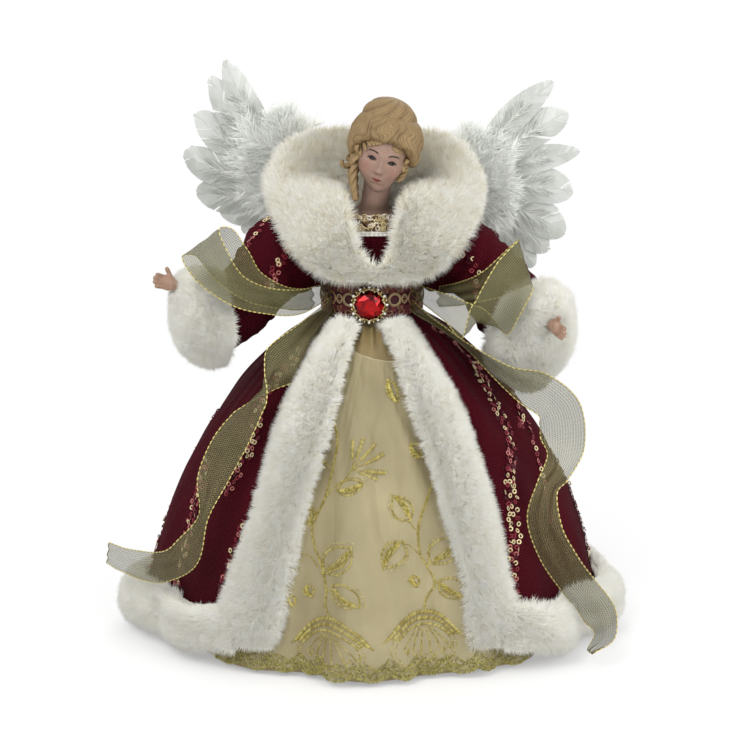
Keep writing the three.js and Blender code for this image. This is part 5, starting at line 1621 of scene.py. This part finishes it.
RIBBONS = {
    "left_ribbon_loop": [
        (belt_root(-1, 4.5), (0, 0, 1), 0.32), ((-40, -43, 196), (0, 0.35, 0.94), 0.55),
        ((-56, -56, 199), (0, 0.5, 0.87), 0.6), ((-72, -65, 206), (0.3, 0.5, 0.8), 0.7),
        ((-85, -66, 219), (0.7, 0.1, 0.6), 0.9), ((-91, -62, 231), (0.8, 0, 0.6), 1),
        ((-85, -57, 231), (0.8, -0.1, 0.6), 1), ((-76, -55, 219), (0.7, 0, 0.6), 0.95),
        ((-64, -52, 206), (0.4, 0.3, 0.85), 0.7), ((-46, -42, 198), (0, 0.4, 0.9), 0.5),
        ((-33, -27, 195), (0, 0.3, 0.95), 0.45),
    ],
    "right_ribbon_loop": [
        (belt_root(1, 4.5), (0, 0, 1), 0.32), ((41, -44, 193), (0.2, 0.3, 0.9), 0.55),
        ((54, -59, 187), (0.5, 0.3, 0.8), 0.8), ((63, -67, 190), (0.75, 0.1, -0.6), 1),
        ((69, -69, 201), (0.75, 0, -0.6), 1), ((76, -67, 213), (0.7, 0, -0.7), 1),
        ((82, -63, 221), (0.3, 0, -0.95), 1), ((77, -58, 217), (0.4, 0.1, -0.9), 0.9),
        ((64, -52, 207), (0.5, 0.2, -0.85), 0.7), ((49, -39, 200), (0.2, -0.1, -0.95), 0.5),
        ((37, -25, 196), (0, -0.1, -0.95), 0.45),
    ],
    "left_ribbon_tail": [
        (belt_root(-1, -5), (0, 0, 1), 0.3), ((-36, -46, 178), (-0.5, -0.2, 0.8), 0.6),
        ((-48, -58, 165), (-0.66, -0.1, 0.74), 0.95), ((-56, -63, 156), (-0.3, -0.4, 0.85), 0.55),
        ((-66, -68, 142), (0.8, -0.5, 0.3), 0.9), ((-77, -73, 124), (0.85, -0.5, 0.1), 1),
        ((-86, -77, 104), (0.85, -0.5, 0), 0.8), ((-90, -82, 86), (0.6, -0.8, 0), 0.4),
        ((-99, -81, 66), (0.55, -0.5, -0.67), 0.7), ((-113, -72, 54), (0, 0.25, -0.95), 0.8),
        ((-129, -56, 49), (0, 0.3, -0.95), 0.8), ((-141, -45, 49), (-0.1, 0.5, -0.85), 0.8),
        ((-150, -38, 51), (-0.2, 0.6, -0.8), 0.8),
    ],
    "right_ribbon_tail": [
        (belt_root(1, -5), (0, 0, 1), 0.3), ((43, -36, 178), (-0.6, -0.4, 0.7), 0.6),
        ((62, -54, 164), (-0.5, -0.3, 0.8), 0.9), ((78, -64, 154), (-0.2, -0.3, 0.9), 0.9),
        ((92, -66, 149), (0.1, -0.2, 0.95), 1), ((102, -62, 138), (0.8, -0.2, 0.5), 1),
        ((104, -62, 121), (0.9, -0.4, -0.1), 1), ((101, -69, 109), (0.6, -0.5, -0.6), 0.7),
        ((95, -76, 100), (0.8, -0.5, -0.3), 0.5), ((93, -80, 82), (0.85, -0.5, 0), 0.8),
        ((101, -80, 62), (0.8, -0.5, 0.3), 0.9), ((113, -75, 44), (0.7, -0.5, 0.5), 0.9),
        ((125, -71, 27), (0.7, -0.5, 0.5), 0.9), ((128, -78, 16), (0.5, -0.8, 0.1), 0.7),
        ((119, -87, 10), (0.1, -0.95, 0.2), 0.5),
    ],
}


def ribbon(node, stations, length):
    """A pleated organza ribbon with overcast wire along its edges."""
    count = 18 * (len(stations) - 1)
    centre = smooth_line([s[0] for s in stations], count)
    across = smooth_line([unit(np.array(s[1], float)) * s[2] for s in stations], count)
    along = unit(np.gradient(centre, axis=0))
    half = length_of(across) * RIBBON_WIDTH / 2
    side = unit(across)
    out = unit(np.cross(along, side))
    columns = 11
    v = np.linspace(-1, 1, columns)[None]
    gathered = 1 - half / (RIBBON_WIDTH / 2)
    u = np.linspace(0, len(stations), count + 1)[:, None]
    pleat = (0.25 + 2.0 * gathered) * np.sin(v * math.pi * 2.2 + u)
    pleat = pleat + 0.35 * ripples(len(node), u * 1.5, v * 1.5)
    grid = centre[:, None] + side[:, None] * (half * v)[..., None]
    grid = grid + out[:, None] * (pleat * (1 - 0.4 * v**2))[..., None]
    sheet = Body()
    flat = flat_map(grid.transpose(1, 0, 2)).transpose(1, 0, 2)
    sheet.add(grid, [grid_quads(count + 1, columns)], flat=flat)
    cloth = sheet.make(f"{node}_organza", FIGURE, [RIBBON], "gold_organza", node)
    wires = Body()
    for column in (0, -1):
        line = even_line(grid[::3, column], 0.5)
        add_tube(wires, line, 0.2, 4, slot=1)
        for first in range(0, len(line) - 4, 6):
            add_tube(wires, line[first:first + 5], np.array([0.2, 0.34, 0.38, 0.34, 0.2]), 5, slot=0)
    for row in (0, -1):
        add_tube(wires, even_line(grid[row], 0.8), 0.25, 4, slot=1)
    edge = wires.make(f"{node}_edges", FIGURE, WIRE_EDGE, "gold_organza")


for (node, stations), length in zip(RIBBONS.items(), (0.18, 0.16, 0.22, 0.25)):
    ribbon(node, stations, length)


# Wings: quill feathers built barb by barb, and down at the root

# root is across and up from the torso's top, and so are the feathers' tips; round is how blunt each feather
# is; down has the middle of the fluff from the root, and half its width and height
WING_Y = 51
WINGS = {
    "left": dict(side=-1, root=(-42, 21), down=(-13, 15, 29, 37), round=[3, 3.5, 5, 6, 6, 4, 4],
                 tips=[(-86, 95), (-95, 84), (-104, 64), (-112, 40), (-105, 17), (-91, 4), (-78, -7)]),
    "right": dict(side=1, root=(49, 16), down=(13, 11, 27, 34), round=[2.6, 6, 2.2, 6, 7, 5, 4],
                  tips=[(106, 83), (115, 65), (123, 42), (120, 18), (116, -7), (106, -18), (98, -28)]),
}
BARB_STATIONS = np.array([0, 0.35, 0.7, 1])
BARB_FACES = [np.array([[0, 2, 3, 1], [2, 4, 5, 3], [4, 6, 7, 5]])]


def add_barbs(body, draw, lines, way, widths, tone):
    """Thin soft barbs through lines of places, each a tapering strip turned at random."""
    flat = unit(np.cross(way, draw.normal(0, 1, way.shape)))
    pairs = [p + sign * flat * w for p, w in zip(lines, widths) for sign in (-1, 1)]
    body.repeat(np.stack(pairs, 1), BARB_FACES, tone)


def quill_feather(name, node, body, base, tip, roundness, seed):
    """A quill with a vane of barbs in bands that part here and there, and loose down over its lower half."""
    draw = np.random.default_rng(seed)
    along = unit(tip - base)
    long = float(np.linalg.norm(tip - base))
    aside = unit(np.cross(along, [0, 1.0, 0]))

    def spine(u):
        u = np.asarray(u, float)[..., None]
        bow = np.sin(math.pi * u)
        back = np.array([0, 1, 0]) * (0.5 * bow + 0.5 * u**3)
        return base + along * u * long + aside * 4 * bow + back

    def half_width(u):
        return 12.0 * (1 - (1 - u) ** 2.2) * np.clip(1 - u**roundness, 0, 1) ** 0.6

    feather = Body()
    count = int(2.0 * long)
    across = np.linspace(0, 1, 7)
    for hand in (-1, 1):
        end = np.linspace(0.06, 0.999, count)
        band = np.cumsum(draw.random(count) < 0.16)
        for number in np.unique(band):
            barbs = np.flatnonzero(band == number)
            barbs = np.arange(barbs[0], min(barbs[-1] + 2, count))
            if len(barbs) < 2:
                continue
            parted = 1.0 if draw.random() < 0.16 else 0.15
            stop = end[barbs]
            reach = half_width(stop) * (1 + draw.normal(0, 0.06) * parted + draw.normal(0, 0.01, len(barbs)))
            begin = np.clip(stop - reach * 1.1 / long, 0.02, 0.985)
            root = spine(begin)
            shifted = np.clip(stop + draw.normal(0, 0.009) * parted, 0, 1.01)
            away = spine(shifted) + hand * aside * reach[:, None]
            vane = lerp(root[:, None], away[:, None], across[None, :, None])
            vane -= along * (2.0 * across * (1 - across))[None, :, None] * (reach / 10)[:, None, None]
            cup = (0.9 * across**2)[None, :] * (reach / 9.5)[:, None] + 0.15 * (number % 2)
            vane[..., 1] += cup
            feather.add(vane, [grid_quads(*vane.shape[:2])], slot=int(draw.integers(0, 2)))
    shaft = spine(np.linspace(-0.04, 0.985, 40))
    add_tube(feather, shaft, np.linspace(0.75, 0.12, len(shaft)), 6, slot=2)
    loose = 1500
    t = 0.7 * draw.random(loose)
    hand = draw.choice([-1, 1], loose)[:, None]
    reach = (half_width(np.clip(t + 0.15, 0, 1)) * draw.uniform(0.55, 1.1, loose))[:, None]
    way = aside * hand + along * draw.uniform(0.5, 1.8, (loose, 1))
    way = unit(way + draw.normal(0, 0.2, (loose, 3)) * [1, 0.4, 1])
    lift = np.array([0, -1, 0]) * draw.uniform(0.2, 2.4, (loose, 1)) * (1 - t[:, None])
    lines = [spine(t) + reach * (way * u + along * 0.3 * u**2) + lift * (0.3 + 0.7 * u)
             for u in BARB_STATIONS]
    add_barbs(feather, draw, lines, way, (0.09, 0.09, 0.07, 0.02), 3 + draw.integers(0, 2, loose))
    feather.make(name, body, [*VANES, QUILL, DOWN_TINTS[2], VANES[0]], "feather", node)


def down_plumes(name, node, body, root, spec, seed):
    """Loose plumes from the wing's root, each a curved shaft with soft barbs all round."""
    draw = np.random.default_rng(seed)
    x, z, wide, high = spec["down"]
    centre = root + np.array([x, -10.3, z])
    fluff = Body()
    plumes, barbs = 150, 165
    for _ in range(plumes):
        turn, out = draw.uniform(0, TAU), math.sqrt(draw.random())
        spread = [wide * out * math.cos(turn), draw.uniform(-4.5, 4), high * out * math.sin(turn)]
        end = centre + np.array(spread)
        start = root + np.array([draw.normal(0, 6), -8, draw.normal(0, 7)])
        bow = draw.normal(0, 4, 3) * [1, 0.3, 1]
        shaft = smooth_line([start, (start + end) / 2 + bow, end], 24)
        t = draw.random(barbs) ** 0.8
        at = on_line(t, np.linspace(0, 1, len(shaft)), shaft)
        along = unit(end - start)
        aside = unit(np.cross(along, draw.normal(0, 1, (barbs, 3)) * [0.6, 1.6, 0.6]))
        full = 4.0 + 6.0 * np.sin(math.pi * np.clip(t * 0.85 + 0.12, 0, 1))
        reach = full[:, None] * draw.uniform(0.7, 1.15, (barbs, 1))
        way = unit(aside + along * draw.uniform(0.5, 1.1, (barbs, 1)))
        droop = draw.normal(0, 0.16, (barbs, 3))
        stations = [at + reach * (way * s + (along * 0.4 + droop) * s**2) for s in BARB_STATIONS]
        near = np.abs(at[:, 0]) < np.abs(root[0]) + 4
        tone = np.where(near & (draw.random(barbs) < 0.5), 3, draw.integers(0, 3, barbs))
        add_barbs(fluff, draw, stations, way, (0.16, 0.16, 0.12, 0.03), tone)
        add_tube(fluff, shaft, np.linspace(0.35, 0.1, len(shaft)), 4, slot=0)
    turn, tilt = np.meshgrid(turns(48), np.linspace(0.05, math.pi - 0.05, 24))
    core = point(0.5 * wide * np.sin(tilt) * np.cos(turn), 2.5 * np.cos(tilt),
                 0.5 * high * np.sin(tilt) * np.sin(turn))
    fluff.add(centre + [0, 3, 0] + core, [grid_quads(*core.shape[:2], True)], slot=0)
    fluff.make(name, body, DOWN_TINTS, "down", node)


for word, spec in WINGS.items():
    wing_root = np.array([spec["root"][0], WING_Y, TORSO_TOP + spec["root"][1]], float)
    for i, (x, rise) in enumerate(spec["tips"]):
        hub = wing_root + [0, (i - 3) * 1.5, 0]
        tip = np.array([x, hub[1], TORSO_TOP + rise])
        foot = hub + unit(tip - hub) * 8.7
        number = i + 1
        quill_feather(f"{word}_quill_{number}", f"{word}_wing_feather_{number}", f"{word}_wing", foot, tip,
                      spec["round"][i], 200 + 10 * spec["side"] + i)
    down_plumes(f"{word}_down_plumes", f"{word}_wing_down", f"{word}_wing", wing_root, spec,
                230 + spec["side"])


# Pieces that keep their solids

def refinish(nodes, material):
    """Give solids that are kept as they are a material."""
    for node in nodes:
        target = frame["nodes"][node]
        target.data.materials.clear()
        target.data.materials.append(material)


refinish(["base_cone"],
         mottled("kraft_card", (176, 150, 112), (206, 184, 146), 0.88, 90, 0.2, bump=0.15))
refinish(["torso_core"],
         mottled("foam_core", (214, 208, 194), (234, 230, 220), 0.92, 600, bump=0.3))
refinish(["left_arm_wire", "right_arm_wire"],
         mottled("soft_wire", (120, 122, 126), (168, 170, 172), 0.42, 400, metallic=1.0))
refinish(["left_wing_stem", "right_wing_stem"],
         mottled("paper_tape", (212, 206, 190), (238, 234, 222), 0.88, 260, 3, bump=0.25))
smooth_copy("wing_felt", FIGURE, "wing_pad", voxel=0.9, rounds=4, material=FELT)


# Floor, light and camera

def floor():
    """A white floor that fades to full white away from the figure."""
    far, low = 4000.0, -0.4
    body = Body()
    body.add([(-far, -far, low), (far, -far, low), (far, far, low), (-far, far, low)],
             [np.array([[0, 1, 2, 3]])])
    material, w, shader = plain("white_floor", (247, 247, 247), 0.9)
    place = w.node("ShaderNodeTexCoord").outputs["Object"]
    away = w.node("ShaderNodeVectorMath", {0: place}, operation="LENGTH").outputs["Value"]
    fade = w.node("ShaderNodeMapRange", {0: away, 1: 0.12, 2: 0.42, 3: 0.35, 4: 1.0}).outputs[0]
    glow = w.node("ShaderNodeEmission", {0: (1, 1, 1, 1), 1: 1.0}).outputs[0]
    share = w.math("MULTIPLY", fade, w.seen())
    mix = w.node("ShaderNodeMixShader", {0: share, 1: shader.outputs[0], 2: glow})
    w.link(mix.outputs[0], material.node_tree.nodes["Material Output"].inputs[0])
    thing = body.build("floor", FIGURE, [material])
    thing.parent = None
    del thing["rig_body"]


# Lamps: a name, a place in metres and a power in watts
LAMPS = [("key", (-0.6, -1.0, 1.2), 12), ("fill", (1.0, -0.9, 0.7), 9), ("back", (0.2, 1.0, 1.1), 5)]
LAMP_SIZE = 0.9

# The photograph's view, from a metre away: the lens, the point looked at in metres and the tilt down
LENS = 83.04
AIM = (0.0017, 0, 0.146)
LOOK_DOWN = math.radians(12)


def lights():
    """A white studio and three soft lamps aimed at the figure's middle."""
    world = bpy.data.worlds.new("studio")
    bpy.context.scene.world = world
    world.use_nodes = True
    w = Wiring(world.node_tree)
    backdrop = world.node_tree.nodes["Background"]
    backdrop.inputs[0].default_value = (1, 1, 1, 1)
    w.link(w.math("ADD", 0.7, w.math("MULTIPLY", w.seen(), 0.3)), backdrop.inputs[1])
    for name, place, watts in LAMPS:
        lamp = bpy.data.lights.new(name, "AREA")
        lamp.size = LAMP_SIZE
        lamp.energy = watts
        thing = bpy.data.objects.new(name, lamp)
        bpy.context.scene.collection.objects.link(thing)
        thing.location = place
        x, y, z = np.array([0, 0, 0.15]) - np.array(place)
        thing.rotation_euler = (math.atan2(math.hypot(x, y), -z), 0, math.atan2(y, x) - math.pi / 2)


def camera():
    """The photograph's view, from the front and a little above."""
    lens = bpy.data.cameras.new("camera")
    lens.sensor_width = 36
    lens.lens = LENS
    thing = bpy.data.objects.new("camera", lens)
    bpy.context.scene.collection.objects.link(thing)
    thing.location = (AIM[0], AIM[1] - math.cos(LOOK_DOWN), AIM[2] + math.sin(LOOK_DOWN))
    thing.rotation_euler = (math.pi / 2 - LOOK_DOWN, 0, 0)
    bpy.context.scene.camera = thing


floor()
lights()
camera()
bpy.context.scene.view_settings.view_transform = "Standard"
